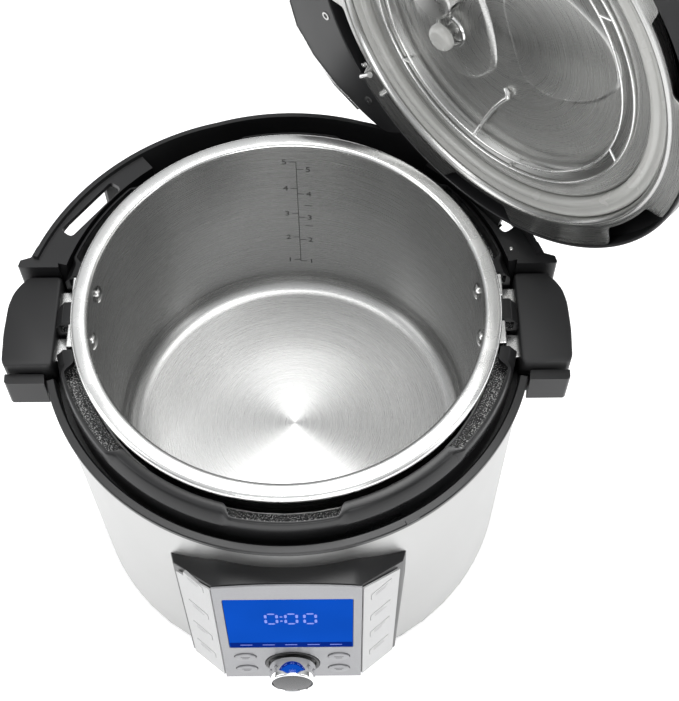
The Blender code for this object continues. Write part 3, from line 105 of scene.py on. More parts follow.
RIB_THICKNESS = 5.0
PLATFORM = (13.6, 52.0)
STRAP_ROWS = (16.0, -15.3)
STRAP_WIDTH = 14.7
STRAP_LOW = RIM_TOP - 25.4
STRAP_HIGH = RIM_TOP - 9.4
STRAP_STEP = drum_high.x + 4.0
RIVET_Z = RIM_TOP - 16.2
SLOT_LENGTH = 44.0
SLOT_WIDTH = 8.5
SLOT_RADIUS = 137.15
SLOT_AZIMUTH = 31.8
SLOT_DIRECTION = 127.4

PANEL_TILT = 6.0
PANEL_CENTRE = Vector((0.0, -(SHELL_RADIUS + 17.4), SKIRT_BOTTOM - 74.5))
FACE_HALF_WIDTH = 41.0
FACE_HALF_HEIGHT = 59.8
FACE_ARCH = 3.0
WING_TURN = 41.4
WING_TOP = (30.1, 46.3)
WING_BOTTOM = (27.9, -62.3)
KEY_ROWS = {-1.0: (49.0, 15.0, -13.0, -38.0), 1.0: (38.5, 12.0, -10.0, -35.0)}
KEY_OUT = 14.0
WINDOW_HALF_WIDTH = 36.0
WINDOW_SPAN = (-17.6, 45.8)
BUTTON_COLUMN = 27.5
BUTTON_ROWS = {"upper": -30.1, "lower": -47.1}
DIAL_ROW = -40.1
DIAL_RADIUS = 13.75
DIAL_HEIGHT = 13.0

LID_LUG_RADIUS = 123.4
LID_NOTCH_RADIUS = 114.5
LID_COVER_RADIUS = 125.6
LID_RIDGE = 110.6
LID_DOME = 46.0
LID_PLACE = (132.0, -20.6, FLANGE_TOP + LID_COVER_RADIUS + 1.4)   # out, along, up
LID_NOTCH_START = -93.0
LID_NOTCH_ANGLE = 25.0
FLOAT_PLACE = (34.0, -20.0)
VALVE_PLACE = (46.0, 0.0)

CAMERA_PLACE = Vector((29.49, -396.47, 849.88))
CAMERA_PITCH = 59.67
CAMERA_ROLL = -0.50
CAMERA_LENS = 67.96


# ---------------------------------------------------------------- materials


class Surface:
    """A Principled material with short helpers for its texture nodes."""

    def __init__(self, name, colour, roughness, metallic=0.0):
        self.material = bpy.data.materials.new(name)
        self.material.use_nodes = True
        self.nodes = self.material.node_tree.nodes
        self.links = self.material.node_tree.links
        self.shader = self.nodes["Principled BSDF"]
        self.set("Base Color", (*colour, 1.0))
        self.set("Roughness", roughness)
        self.set("Metallic", metallic)
        self.coords = self.nodes.new("ShaderNodeTexCoord").outputs["Object"]

    def set(self, socket, value):
        self.shader.inputs[socket].default_value = value

    def link(self, output, socket):
        self.links.new(output, self.shader.inputs[socket])

    def math(self, operation, first, second=None):
        node = self.nodes.new("ShaderNodeMath")
        node.operation = operation
        for socket, value in zip(node.inputs, (first, second)):
            if value is None:
                continue
            if isinstance(value, (int, float)):
                socket.default_value = value
            else:
                self.links.new(value, socket)
        return node.outputs[0]

    def lathe_lines(self, along, across):
        """Coordinates that change fast across turning lines about Z and slowly along them."""
        split = self.nodes.new("ShaderNodeSeparateXYZ")
        self.links.new(self.coords, split.inputs[0])
        x, y, z = split.outputs
        radius = self.math("SQRT", self.math("ADD", self.math("MULTIPLY", x, x), self.math("MULTIPLY", y, y)))
        join = self.nodes.new("ShaderNodeCombineXYZ")
        self.links.new(self.math("MULTIPLY", x, along), join.inputs[0])
        self.links.new(self.math("MULTIPLY", y, along), join.inputs[1])
        self.links.new(self.math("MULTIPLY", self.math("ADD", radius, z), across), join.inputs[2])
        return join.outputs[0]

    def noise(self, scale, detail=3.0, vector=None, rough=0.5):
        node = self.nodes.new("ShaderNodeTexNoise")
        node.inputs["Scale"].default_value = scale
        node.inputs["Detail"].default_value = detail
        node.inputs["Roughness"].default_value = rough
        self.links.new(vector or self.coords, node.inputs["Vector"])
        return node.outputs[0]

    def ramp(self, value, low, high, start=0.3, end=0.7):
        node = self.nodes.new("ShaderNodeMapRange")
        node.inputs["From Min"].default_value = start
        node.inputs["From Max"].default_value = end
        node.inputs["To Min"].default_value = low
        node.inputs["To Max"].default_value = high
        self.links.new(value, node.inputs["Value"])
        return node.outputs[0]

    def tint(self, value, low, high, start=0.3, end=0.7):
        node = self.nodes.new("ShaderNodeValToRGB")
        node.color_ramp.elements[0].position = start
        node.color_ramp.elements[1].position = end
        node.color_ramp.elements[0].color = (*low, 1.0)
        node.color_ramp.elements[1].color = (*high, 1.0)
        self.links.new(value, node.inputs[0])
        self.link(node.outputs[0], "Base Color")

    def bump(self, height, strength, distance):
        node = self.nodes.new("ShaderNodeBump")
        node.inputs["Strength"].default_value = strength
        node.inputs["Distance"].default_value = distance
        self.links.new(height, node.inputs["Height"])
        self.link(node.outputs[0], "Normal")

    def brush(self, amount):
        """Highlights stretched across turning lines about Z."""
        tangent = self.nodes.new("ShaderNodeTangent")
        tangent.direction_type = "RADIAL"
        tangent.axis = "Z"
        self.link(tangent.outputs[0], "Tangent")
        self.set("Anisotropic", amount)
        self.set("Anisotropic Rotation", 0.25)


def turned_steel(name, colour, roughness, spread, brush, lines=900.0):
    surface = Surface(name, colour, roughness, 1.0)
    lines_at = surface.lathe_lines(14.0, lines)
    fine = surface.noise(1.0, 4.0, lines_at)
    surface.link(surface.ramp(fine, roughness - spread, roughness + spread), "Roughness")
    surface.tint(fine, tuple(c * 0.97 for c in colour), tuple(min(1.0, c * 1.02) for c in colour))
    surface.brush(brush)
    return surface.material


def polished_metal(name, colour, roughness):
    surface = Surface(name, colour, roughness, 1.0)
    haze = surface.noise(60.0, 4.0)
    surface.link(surface.ramp(haze, roughness * 0.8, roughness * 1.3), "Roughness")
    surface.tint(surface.noise(25.0, 2.0), tuple(c * 0.97 for c in colour), colour)
    return surface.material


def moulded(name, colour, roughness, grain=1600.0, strength=0.25, depth=0.00004):
    surface = Surface(name, colour, roughness)
    speck = surface.noise(grain, 2.0)
    broad = surface.noise(18.0, 3.0)
    surface.link(surface.ramp(broad, roughness - 0.04, roughness + 0.05), "Roughness")
    surface.tint(broad, tuple(c * 0.85 for c in colour), tuple(c * 1.15 for c in colour))
    surface.bump(speck, strength, depth)
    return surface.material


def sparkling(name, colour, roughness):
    """Coarse moulded grain in the bump, with light specks painted into the colour as glints."""
    surface = Surface(name, colour, roughness)
    speck = surface.noise(1500.0, 2.0)
    surface.bump(speck, 0.6, 0.0003)
    # The light specks in the colour are painted glints that stand in for highlights off the grain.
    surface.tint(speck, colour, (0.75, 0.75, 0.74), 0.54, 0.64)
    return surface.material


def painted(name, colour, roughness, metallic=0.0):
    surface = Surface(name, colour, roughness, metallic)
    speck = surface.noise(700.0, 2.0)
    surface.tint(speck, tuple(c * 0.97 for c in colour), tuple(min(1.0, c * 1.02) for c in colour))
    surface.link(surface.ramp(surface.noise(40.0, 3.0), roughness - 0.03, roughness + 0.03), "Roughness")
    surface.bump(speck, 0.05, 0.00002)
    return surface.material


def display(name, colour, glow):
    surface = Surface(name, colour, 0.3)
    cloud = surface.noise(14.0, 2.0)
    dim = tuple(c * 0.72 for c in colour)
    surface.tint(cloud, dim, colour)
    surface.set("Emission Color", (*colour, 1.0))
    surface.set("Emission Strength", glow)
    surface.set("Specular IOR Level", 0.0)
    return surface.material


def clear_silicone(name, colour):
    surface = Surface(name, colour, 0.22)
    surface.set("Subsurface Weight", 0.25)
    surface.set("Subsurface Radius", (0.003, 0.003, 0.003))
    surface.set("Coat Weight", 0.5)
    surface.link(surface.ramp(surface.noise(50.0, 3.0), 0.16, 0.32), "Roughness")
    surface.tint(surface.noise(22.0, 2.0), tuple(c * 0.9 for c in colour), colour)
    return surface.material


STEEL = turned_steel("shell_steel", (0.5, 0.5, 0.495), 0.34, 0.03, 0.6, 3600.0)
POT_STEEL = turned_steel("pot_steel", (0.5, 0.5, 0.495), 0.27, 0.03, 0.75, 4000.0)
LID_STEEL = turned_steel("lid_steel", (0.55, 0.55, 0.54), 0.28, 0.03, 0.6, 4000.0)
SATIN_STEEL = polished_metal("satin_steel", (0.6, 0.6, 0.59), 0.3)
BRIGHT = polished_metal("polished_steel", (0.84, 0.84, 0.83), 0.24)
CHROME = polished_metal("chrome", (0.9, 0.9, 0.91), 0.06)
BLACK = moulded("black_plastic", (0.008, 0.008, 0.0085), 0.34)
LID_BLACK = moulded("lid_plastic", (0.018, 0.018, 0.019), 0.36)
FLANGE_BLACK = moulded("flange_plastic", (0.008, 0.008, 0.0085), 0.3)
# Dark plastic with painted glints: light specks painted into its colour.
PAINTED_GLINTS = sparkling("flange_grain_painted_glints", (0.02, 0.02, 0.021), 0.3)
SILICONE = moulded("black_silicone", (0.01, 0.01, 0.0105), 0.55, 2200.0, 0.2)
RUBBER = moulded("foot_rubber", (0.03, 0.03, 0.03), 0.8, 900.0)
GREY = moulded("dark_grey", (0.03, 0.03, 0.032), 0.25, 2000.0, 0.1)
ALUMINIUM = painted("cast_aluminium", (0.5, 0.5, 0.5), 0.5, 1.0)
BOARD = painted("circuit_board", (0.02, 0.13, 0.05), 0.5)
SILVER = painted("silver_overlay", (0.3, 0.3, 0.31), 0.36, 0.55)
LIGHT = painted("light_overlay", (0.5, 0.5, 0.5), 0.42, 0.1)
ICON = painted("icon_grey", (0.3, 0.3, 0.31), 0.5)
PRINT = painted("dark_print", (0.015, 0.015, 0.015), 0.5)
SMOKE = clear_silicone("smoked_plastic", (0.12, 0.12, 0.125))
SEAL = clear_silicone("clear_silicone", (0.5, 0.5, 0.48))
WINDOW = display("display_window", (0.003, 0.05, 0.33), 0.6)
WINDOW_DARK = display("display_strip", (0.002, 0.015, 0.16), 0.4)
DIGIT = display("display_digit", (0.2, 0.25, 0.65), 0.5)


# ---------------------------------------------------------------- mesh building


def turned(outline, steps=ROUND):
    """Turn a closed outline of (radius, z) points about Z."""
    bm = bmesh.new()
    rows = []
    for radius, z in outline:
        if radius < 1e-6:
            rows.append([bm.verts.new((0.0, 0.0, z))])
            continue
        angles = [math.tau * i / steps for i in range(steps)]
        rows.append([bm.verts.new((radius * math.cos(a), radius * math.sin(a), z)) for a in angles])
    for row, following in zip(rows, rows[1:] + rows[:1]):
        if len(row) == 1 and len(following) == 1:
            continue
        for i in range(steps):
            k = (i + 1) % steps
            corners = [row[i % len(row)], following[i % len(following)],
                       following[k % len(following)], row[k % len(row)]]
            bm.faces.new(list(dict.fromkeys(corners)))
    return outward(bm)


def outward(bm):
    bmesh.ops.recalc_face_normals(bm, faces=bm.faces)
    return bm


def swept(sections, closed=True):
    """Join (azimuth, outline of (radius, z)) sections into a ring or a capped arc."""
    bm = bmesh.new()
    rows = []
    for azimuth, outline in sections:
        cos, sin = math.cos(math.radians(azimuth)), math.sin(math.radians(azimuth))
        rows.append([bm.verts.new((r * cos, r * sin, z)) for r, z in outline])
    pairs = list(zip(rows, rows[1:]))
    if closed:
        pairs.append((rows[-1], rows[0]))
    for row, following in pairs:
        for j in range(len(row)):
            k = (j + 1) % len(row)
            bm.faces.new((row[j], following[j], following[k], row[k]))
    if not closed:
        bm.faces.new(rows[0])
        bm.faces.new(rows[-1])
    return outward(bm)


def arc_piece(outline, start, stop, step=1.5):
    count = max(2, round(abs(stop - start) / step))
    azimuths = [start + (stop - start) * i / count for i in range(count + 1)]
    return swept([(azimuth, outline) for azimuth in azimuths], closed=False)


def loft(lower, upper):
    bm = bmesh.new()
    bottom = [bm.verts.new(point) for point in lower]
    top = [bm.verts.new(point) for point in upper]
    count = len(bottom)
    for i in range(count):
        k = (i + 1) % count
        bm.faces.new((bottom[i], bottom[k], top[k], top[i]))
    bm.faces.new(bottom)
    bm.faces.new(top)
    return outward(bm)


def prism(outline, low, high):
    return loft([(x, y, low) for x, y in outline], [(x, y, high) for x, y in outline])


def block(x0, x1, y0, y1, z0, z1):
    return prism([(x0, y0), (x1, y0), (x1, y1), (x0, y1)], z0, z1)


def ellipse(half_width, half_height, place=(0.0, 0.0), steps=40):
    angles = [math.tau * i / steps for i in range(steps)]
    return [(place[0] + half_width * math.cos(a), place[1] + half_height * math.sin(a)) for a in angles]


def filleted(points, radius, steps=6):
    """Round each corner of an outline, as far as its sides allow."""
    result = []
    count = len(points)
    for i in range(count):
        here = Vector(points[i])
        before = Vector(points[i - 1]) - here
        after = Vector(points[(i + 1) % count]) - here
        reach = min(radius, before.length * 0.45, after.length * 0.45)
        start, end = here + before.normalized() * reach, here + after.normalized() * reach
        for k in range(steps + 1):
            t = k / steps
            result.append(tuple(start * (1 - t) ** 2 + here * (2 * t * (1 - t)) + end * t * t))
    return result


def polar(radius, angle):
    return radius * math.cos(math.radians(angle)), radius * math.sin(math.radians(angle))


def hull(points):
    bm = bmesh.new()
    for point in points:
        bm.verts.new(point)
    found = bmesh.ops.convex_hull(bm, input=bm.verts)
    loose = list({item for item in found["geom_interior"] + found["geom_unused"]
                  if isinstance(item, bmesh.types.BMVert)})
    bmesh.ops.delete(bm, geom=loose, context="VERTS")
    bmesh.ops.dissolve_limit(bm, angle_limit=0.02, verts=bm.verts, edges=bm.edges)
    return outward(bm)


def wire(points, radius, sides=10):
    """A round wire through points, with flat ends."""
    bm = bmesh.new()
    rings = []
    spots = [Vector(point) for point in points]
    for i, spot in enumerate(spots):
        along = (spots[min(i + 1, len(spots) - 1)] - spots[max(i - 1, 0)]).normalized()
        side = along.orthogonal().normalized() if i == 0 else (last - along * last.dot(along)).normalized()
        last = side
        up = along.cross(side)
        rings.append([bm.verts.new(spot + side * radius * math.cos(math.tau * j / sides)
                                   + up * radius * math.sin(math.tau * j / sides)) for j in range(sides)])
    for ring, following in zip(rings, rings[1:]):
        for j in range(sides):
            k = (j + 1) % sides
            bm.faces.new((ring[j], following[j], following[k], ring[k]))
    bm.faces.new(rings[0])
    bm.faces.new(rings[-1])
    return outward(bm)


def moved(bm, matrix):
    bmesh.ops.transform(bm, matrix=matrix, verts=bm.verts)
    return outward(bm)


def mirrored(bm):
    bmesh.ops.scale(bm, vec=Vector((-1.0, 1.0, 1.0)), verts=bm.verts)
    return outward(bm)


def together(*shapes):
    """Several shapes as one mesh, without joining their surfaces."""
    result = bmesh.new()
    for shape in shapes:
        mesh = bpy.data.meshes.new("shape")
        shape.to_mesh(mesh)
        shape.free()
        result.from_mesh(mesh)
        bpy.data.meshes.remove(mesh)
    return result


def cut(bm, *tools):
    """Cut tool shapes out of a shape with exact Booleans."""
    for tool in tools:
        helpers = []
        for shape in (bm, tool):
            mesh = bpy.data.meshes.new("shape")
            shape.to_mesh(mesh)
            shape.free()
            helper = bpy.data.objects.new("shape", mesh)
            bpy.context.scene.collection.objects.link(helper)
            helpers.append(helper)
        modifier = helpers[0].modifiers.new("cut", "BOOLEAN")
        modifier.operation = "DIFFERENCE"
        modifier.solver = "EXACT"
        modifier.object = helpers[1]
        result = helpers[0].evaluated_get(bpy.context.evaluated_depsgraph_get())
        bm = bmesh.new()
        bm.from_mesh(result.to_mesh())
        result.to_mesh_clear()
        for helper in helpers:
            mesh = helper.data
            bpy.data.objects.remove(helper, do_unlink=True)
            bpy.data.meshes.remove(mesh)
    return bm


def in_metres(matrix):
    result = matrix.copy()
    result.translation = matrix.translation * MM
    return result


def piece(name, bm, material, body, matrix=None, replaces=(), bevel=0.0, sharp=35.0):
    """Make a shown piece from a bmesh in millimetres and let it ride on a body."""
    bmesh.ops.scale(bm, vec=Vector((MM, MM, MM)), verts=bm.verts)
    mesh = bpy.data.meshes.new(name)
    bm.to_mesh(mesh)
    bm.free()
    mesh.materials.append(material)
    mesh.shade_smooth()
    mesh.set_sharp_from_angle(angle=math.radians(sharp))
    made = bpy.data.objects.new(name, mesh)
    bpy.context.scene.collection.objects.link(made)
    if matrix:
        made.matrix_world = in_metres(matrix)
    if bevel:
        add_bevel(made, bevel)
    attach(made, body)
    if replaces:
        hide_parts(*replaces)
    return made


def add_bevel(made, width, segments=3):
    modifier = made.modifiers.new("edges", "BEVEL")
    modifier.width = width * MM
    modifier.segments = segments
    modifier.limit_method = "ANGLE"
    modifier.angle_limit = math.radians(35.0)
    modifier.harden_normals = True


def paint(made, material, wanted):
    """Give the faces that a test picks a second material."""
    made.data.materials.append(material)
    index = len(made.data.materials) - 1
    for face in made.data.polygons:
        if wanted(face.center / MM, face.normal):
            face.material_index = index


def digit_shape(text, height, depth=0.05):
    """A printed number, flat in XY, centred on the origin."""
    curve = bpy.data.curves.new("number", "FONT")
    curve.body = text
    curve.size = height
    curve.extrude = depth
    curve.align_x = "CENTER"
    curve.align_y = "CENTER"
    holder = bpy.data.objects.new("number", curve)
    bpy.context.scene.collection.objects.link(holder)
    mesh = holder.evaluated_get(bpy.context.evaluated_depsgraph_get()).to_mesh()
    bm = bmesh.new()
    bm.from_mesh(mesh)
    holder.to_mesh_clear()
    bpy.data.objects.remove(holder, do_unlink=True)
    bpy.data.curves.remove(curve)
    return bm


# ---------------------------------------------------------------- inner pot


def bend(centre_radius, centre_z, radius, first, last, steps=8):
    angles = [math.radians(first + (last - first) * i / steps) for i in range(steps + 1)]
    return [(centre_radius + radius * math.cos(a), centre_z + radius * math.sin(a)) for a in angles]


def make_pot():
    outer = POT_RADIUS + 1.0
    low, top, under = pot_low.z, RIM_TOP, RIM_TOP - RIM_DEPTH
    outline = [(0.0, low)] + bend(outer - POT_CORNER, low + POT_CORNER, POT_CORNER, -90.0, 0.0)
    outline += [(outer, under - 1.0), (outer + 1.0, under)]
    outline += bend(RIM_RADIUS - 2.6, under + 2.6, 2.6, -90.0, 0.0, 5)
    outline += bend(RIM_RADIUS - 3.0, top - 3.0, 3.0, 0.0, 80.0, 6)
    outline += bend(POT_RADIUS + 2.6, top - 2.6, 2.6, 95.0, 180.0, 6)
    outline += [(POT_RADIUS, POT_FLOOR + 80.0)]
    outline += bend(POT_RADIUS - POT_CORNER, POT_FLOOR + POT_CORNER, POT_CORNER, 0.0, -90.0)
    outline += [(POT_RADIUS * 0.6, POT_FLOOR), (POT_RADIUS * 0.3, POT_FLOOR), (0.0, POT_FLOOR)]
    pot = piece("pot", turned(outline), POT_STEEL, "pot", replaces=["inner_pot"],
                sharp=50.0)
    paint(pot, BRIGHT, lambda at, normal: at.z > under - 1.2 and math.hypot(at.x, at.y) > POT_RADIUS + 0.01)


def on_wall(bm, azimuth, z, radius):
    """Wrap a flat print round the inside of a wall, upright and facing the axis."""
    for vertex in bm.verts:
        x, y, depth = vertex.co
        angle = math.radians(azimuth) - x / radius
        vertex.co = ((radius - depth) * math.cos(angle), (radius - depth) * math.sin(angle), z + y)
    return outward(bm)


def make_scale():
    """Litre marks to the left and quart marks to the right of one line."""
    shapes = []
    azimuth, radius, first = 88.0, POT_RADIUS - 0.04, POT_FLOOR + 0.6
    litre, quart = 26.3, 24.9

    def bar(x0, x1, z0, z1):
        steps = 4
        for i in range(steps):
            a, b = x0 + (x1 - x0) * i / steps, x0 + (x1 - x0) * (i + 1) / steps
            shapes.append(on_wall(block(a, b, -0.5 * (z1 - z0), 0.5 * (z1 - z0), -0.04, 0.05), azimuth,
                                  0.5 * (z0 + z1), radius))

    bar(-0.22, 0.22, first + quart, first + 5 * litre)
    for count in range(1, 6):
        z = first + litre * count
        bar(-4.2, 0.0, z - 0.22, z + 0.22)
        shapes.append(on_wall(moved(digit_shape(str(count), 6.8), Matrix.Translation((-7.2, 0.0, 0.0))),
                              azimuth, z, radius))
        z = first + quart * count
        bar(0.0, 4.2, z - 0.22, z + 0.22)
        shapes.append(on_wall(moved(digit_shape(str(count), 6.8), Matrix.Translation((7.2, 0.0, 0.0))),
                              azimuth, z, radius))
    for z in (first + 3.33 * litre, first + 2.5 * litre):
        bar(4.2, 9.0, z - 0.25, z + 0.25)
    piece("pot_scale", together(*shapes), PRINT, "pot", sharp=60.0)


def make_pot_handles():
    for label, side in (("right", 1.0), ("left", -1.0)):
        flip = mirrored if side < 0 else outward
        wall = POT_RADIUS + 1.3
        end = grip_high.x - 13.5
        thick, high, low, step = 2.0, STRAP_HIGH, STRAP_LOW, STRAP_STEP
        outline = [
            (wall, RIVET_Z - 6.0), (wall + thick, RIVET_Z - 6.0), (wall + thick, high - thick),
            (step - thick, high - thick), (step, low - thick), (end, low - thick), (end, low),
            (step + thick * 0.8, low), (step - 0.2, high), (wall, high),
        ]
        straps = []
        for row in STRAP_ROWS:
            half = STRAP_WIDTH / 2.0
            straps.append(loft([(x, row - half, z) for x, z in outline],
                               [(x, row + half, z) for x, z in outline]))
        piece(f"straps_{label}", flip(together(*straps)), BRIGHT, "pot", replaces=[f"bracket_{label}"],
              bevel=0.5)
        make_grip(label, flip)
        for place, row in zip(("rear", "front"), STRAP_ROWS):
            inner = math.sqrt(POT_RADIUS ** 2 - row ** 2) - 0.9
            profile = [(0.0, inner - 2.2), (1.6, inner - 2.0), (3.2, inner - 1.4), (4.4, inner - 0.7),
                       (4.9, inner), (3.2, inner), (3.2, wall + 2.6), (0.0, wall + 2.6)]
            turn = Matrix.Translation((0.0, row, RIVET_Z)) @ Matrix.Rotation(side * math.pi / 2.0, 4, "Y")
            piece(f"rivet_head_{label}_{place}", turned(profile, 32), BRIGHT, "pot", matrix=turn,
                  replaces=[f"rivet_{label}_{place}"])


def make_grip(label, flip):
    """A silicone grip with a corner cut back at the rear."""
    low, top = grip_low.z, grip_high.z
    inner, outer = grip_low.x, grip_high.x - 1.0
    front, rear = grip_low.y, grip_high.y
    outline = filleted([
        (inner, front), (outer - 2.0, front), (outer, front + 4.0), (outer + 1.0, -8.0), (outer + 0.4, 10.0),
        (outer - 1.6, 18.5), (outer - 5.5, 25.0), (outer - 10.0, rear), (inner, rear)], 3.0)
    levels = [(low, 1.6), (low + 0.5, 0.7), (low + 1.6, 0.0), (top - 1.6, 0.0), (top - 0.9, 0.2), (top - 0.3, 0.6),
              (top, 1.2)]
    bm = bmesh.new()
    middle = Vector(((inner + outer) / 2.0, (front + rear) / 2.0))
    rows = []
    for z, inset in levels:
        row = []
        for x, y in outline:
            offset = Vector((x, y)) - middle
            shrink_x = 1.0 - inset / (0.5 * (outer - inner))
            shrink_y = 1.0 - inset / (0.5 * (rear - front))
            row.append(bm.verts.new((middle.x + offset.x * shrink_x, middle.y + offset.y * shrink_y, z)))
        rows.append(row)
    for row, following in zip(rows, rows[1:]):
        for j in range(len(row)):
            k = (j + 1) % len(row)
            bm.faces.new((row[j], row[k], following[k], following[j]))
    bm.faces.new(rows[0])
    bm.faces.new(rows[-1])
    piece(f"grip_cover_{label}", flip(bm), SILICONE, "pot", replaces=[f"grip_{label}"],
          sharp=50.0)


# ---------------------------------------------------------------- base


def make_shell():
    outline = [
        (SHELL_RADIUS - 0.8, shell_low.z), (SHELL_RADIUS - 0.3, shell_low.z),
        (SHELL_RADIUS, shell_low.z + 0.6), (SHELL_RADIUS, SHELL_TOP), (SHELL_RADIUS - 0.8, SHELL_TOP),
    ]
    bm = turned(outline, 240)
    notches = []
    for side in (-1.0, 1.0):
        x0, x1 = sorted((side * 115.0, side * 160.0))
        notches.append(block(x0, x1, HANDLE_FRONT - BLOCK_LENGTH - 2.0, HANDLE_REAR + 14.0,
                             RING_BOTTOM - 0.6, 300.0))
    inlet = block(-13.3, 13.3, 100.0, 200.0, 27.7, 48.3)
    piece("shell", cut(bm, *notches, inlet), STEEL, "base", replaces=["outer_shell"])


def ring_start():
    return [(RING_INNER, RING_BOTTOM), (RING_INNER, SHELF)]


def rear_radius(azimuth):
    away = abs(azimuth - 90.0)
    return SKIRT_OUTER + 2.6 + 0.16 * max(0.0, away - 18.0)


def front_section(azimuth):
    return ring_start() + [
        (TROUGH_OUTER, SHELF), (TROUGH_OUTER + 0.2, LIP - 1.0), (TROUGH_OUTER + 1.2, LIP), (SKIRT_OUTER - 0.6, LIP),
        (SKIRT_OUTER, LIP - 0.6), (SKIRT_OUTER, LIP_UNDER), (SKIRT_INNER, LIP_UNDER),
        (SKIRT_INNER, SHELL_TOP + 0.6), (RING_WALL, SHELL_TOP + 0.6), (RING_WALL, RING_BOTTOM),
    ]


def rear_section(azimuth):
    outer = rear_radius(azimuth)
    return ring_start() + [
        (TROUGH_OUTER, SHELF), (TROUGH_OUTER + 0.4, SHELL_TOP + 2.0), (SKIRT_INNER + 0.4, SHELL_TOP + 8.0),
        (outer - 2.8, REAR_TOP), (outer, REAR_TOP), (outer - 0.4, SKIRT_BOTTOM), (SKIRT_INNER, SKIRT_BOTTOM),
        (SKIRT_INNER, SHELL_TOP + 0.6), (RING_WALL, SHELL_TOP + 0.6), (RING_WALL, RING_BOTTOM),
    ]


def platform_section(azimuth):
    outer = rear_radius(azimuth)
    inner = FLANGE_OUTER + 0.6
    return ring_start() + [
        (inner, SHELF), (inner, FLANGE_TOP), (outer - 3.2, FLANGE_TOP), (outer - 2.8, REAR_TOP), (outer, REAR_TOP),
        (outer - 0.4, SKIRT_BOTTOM), (outer - 2.8, SKIRT_BOTTOM), (outer - 2.8, FLANGE_TOP - 3.2),
        (RING_WALL, FLANGE_TOP - 3.2), (RING_WALL, RING_BOTTOM),
    ]


def handle_section(azimuth):
    low, high = RING_BOTTOM, HANDLE_FLOOR
    return ring_start() + [
        (TROUGH_OUTER, SHELF), (TROUGH_OUTER + 0.4, SHELF + 2.0), (TROUGH_OUTER + 2.4, high - 1.1),
        (SKIRT_OUTER - 0.6, high - 0.6), (SKIRT_OUTER, high - 0.8), (SKIRT_OUTER, low + 0.6),
        (SKIRT_INNER, low + 0.4), (SHELL_RADIUS, low + 0.3), (SHELL_RADIUS - 0.8, low + 0.2), (RING_WALL, low),
    ]


def folded(azimuth):
    """The same place seen from the right-hand handle."""
    if azimuth > 90.0:
        return 180.0 - azimuth
    if azimuth < -90.0:
        return -180.0 - azimuth
    return azimuth


def ring_section(azimuth):
    place = folded(azimuth)
    if place < -14.0:
        return front_section(place)
    if place < PLATFORM[0]:
        return handle_section(place)
    if place < PLATFORM[1]:
        return platform_section(place)
    return rear_section(place)


def ring_azimuths():
    azimuths = {round(-180.0 + 1.5 * i, 3) for i in range(240)}
    changes = [-14.0, *PLATFORM]
    for change in changes + [180.0 - change for change in changes]:
        near = (change + 180.0) % 360.0 - 180.0
        azimuths = {a for a in azimuths if abs(a - near) > 0.7}
        azimuths |= {near - 0.7, near + 0.7}
    return sorted(azimuths)


def slot_tools():
    radians = math.radians(SLOT_AZIMUTH)
    place = Vector((SLOT_RADIUS * math.cos(radians), SLOT_RADIUS * math.sin(radians), 0.0))
    to_slot = Matrix.Translation(place) @ Matrix.Rotation(math.radians(SLOT_DIRECTION), 4, "Z")
    half_length, half_width = SLOT_LENGTH / 2.0, SLOT_WIDTH / 2.0
    corners = [(-half_length, -half_width), (half_length, -half_width), (half_length, half_width),
               (-half_length, half_width)]
    upper = prism(filleted(corners, 3.0), SHELL_TOP + 2.0, 300.0)
    shell_side = SLOT_RADIUS - SHELL_RADIUS - 1.8
    lower = block(-half_length, half_length, -half_width, shell_side, 0.0, SHELL_TOP + 3.0)
    window = block(2.0 - half_length, half_length - 2.0, -30.0, shell_side - 0.2, 0.5, FLANGE_TOP - 9.0)
    return [moved(tool, to_slot) for tool in (upper, lower, window)]


def handle_shapes():
    low, inner, outer = RING_BOTTOM, TROUGH_OUTER + 0.9, HANDLE_OUTER
    front_end = HANDLE_FRONT - BLOCK_LENGTH
    floor = prism([(inner, HANDLE_FRONT - 4.0), (outer - 7.0, HANDLE_FRONT - 4.0), (outer - 4.4, HANDLE_FRONT - 0.7),
                   (outer - 1.7, HANDLE_FRONT + 4.0), (outer - 0.5, 0.0), (outer - 3.0, HANDLE_REAR + 1.2),
                   (inner, HANDLE_REAR + 1.4)], low + 1.3, HANDLE_FLOOR)
    foot = filleted([(inner, front_end), (outer - 2.5, front_end), (outer - 1.0, front_end + 1.5),
                     (outer - 1.0, HANDLE_FRONT - 0.5), (inner + 1.0, HANDLE_FRONT - 0.5)], 0.6, 4)
    head = filleted([(inner + 0.6, front_end + 2.6), (outer - 1.6, front_end + 2.6), (outer - 0.2, front_end + 4.0),
                     (outer, HANDLE_FRONT), (inner + 1.6, HANDLE_FRONT)], 0.6, 4)
    front = loft([(x, y, low + 0.8) for x, y in foot], [(x, y, LIP) for x, y in head])
    near = HANDLE_REAR + 0.6
    rib = prism(filleted([(FLANGE_OUTER + 1.0, near), (RIB_REACH, near), (RIB_REACH + 1.0, near + 1.0),
                          (RIB_REACH, near + RIB_THICKNESS), (RIB_REACH - 6.0, near + RIB_THICKNESS + 2.0),
                          (RIB_REACH - 9.0, near + 15.0), (FLANGE_OUTER + 4.0, near + 15.0)], 0.4, 3),
                low + 1.1, FLANGE_TOP + 0.05)
    return [floor, front, rib]


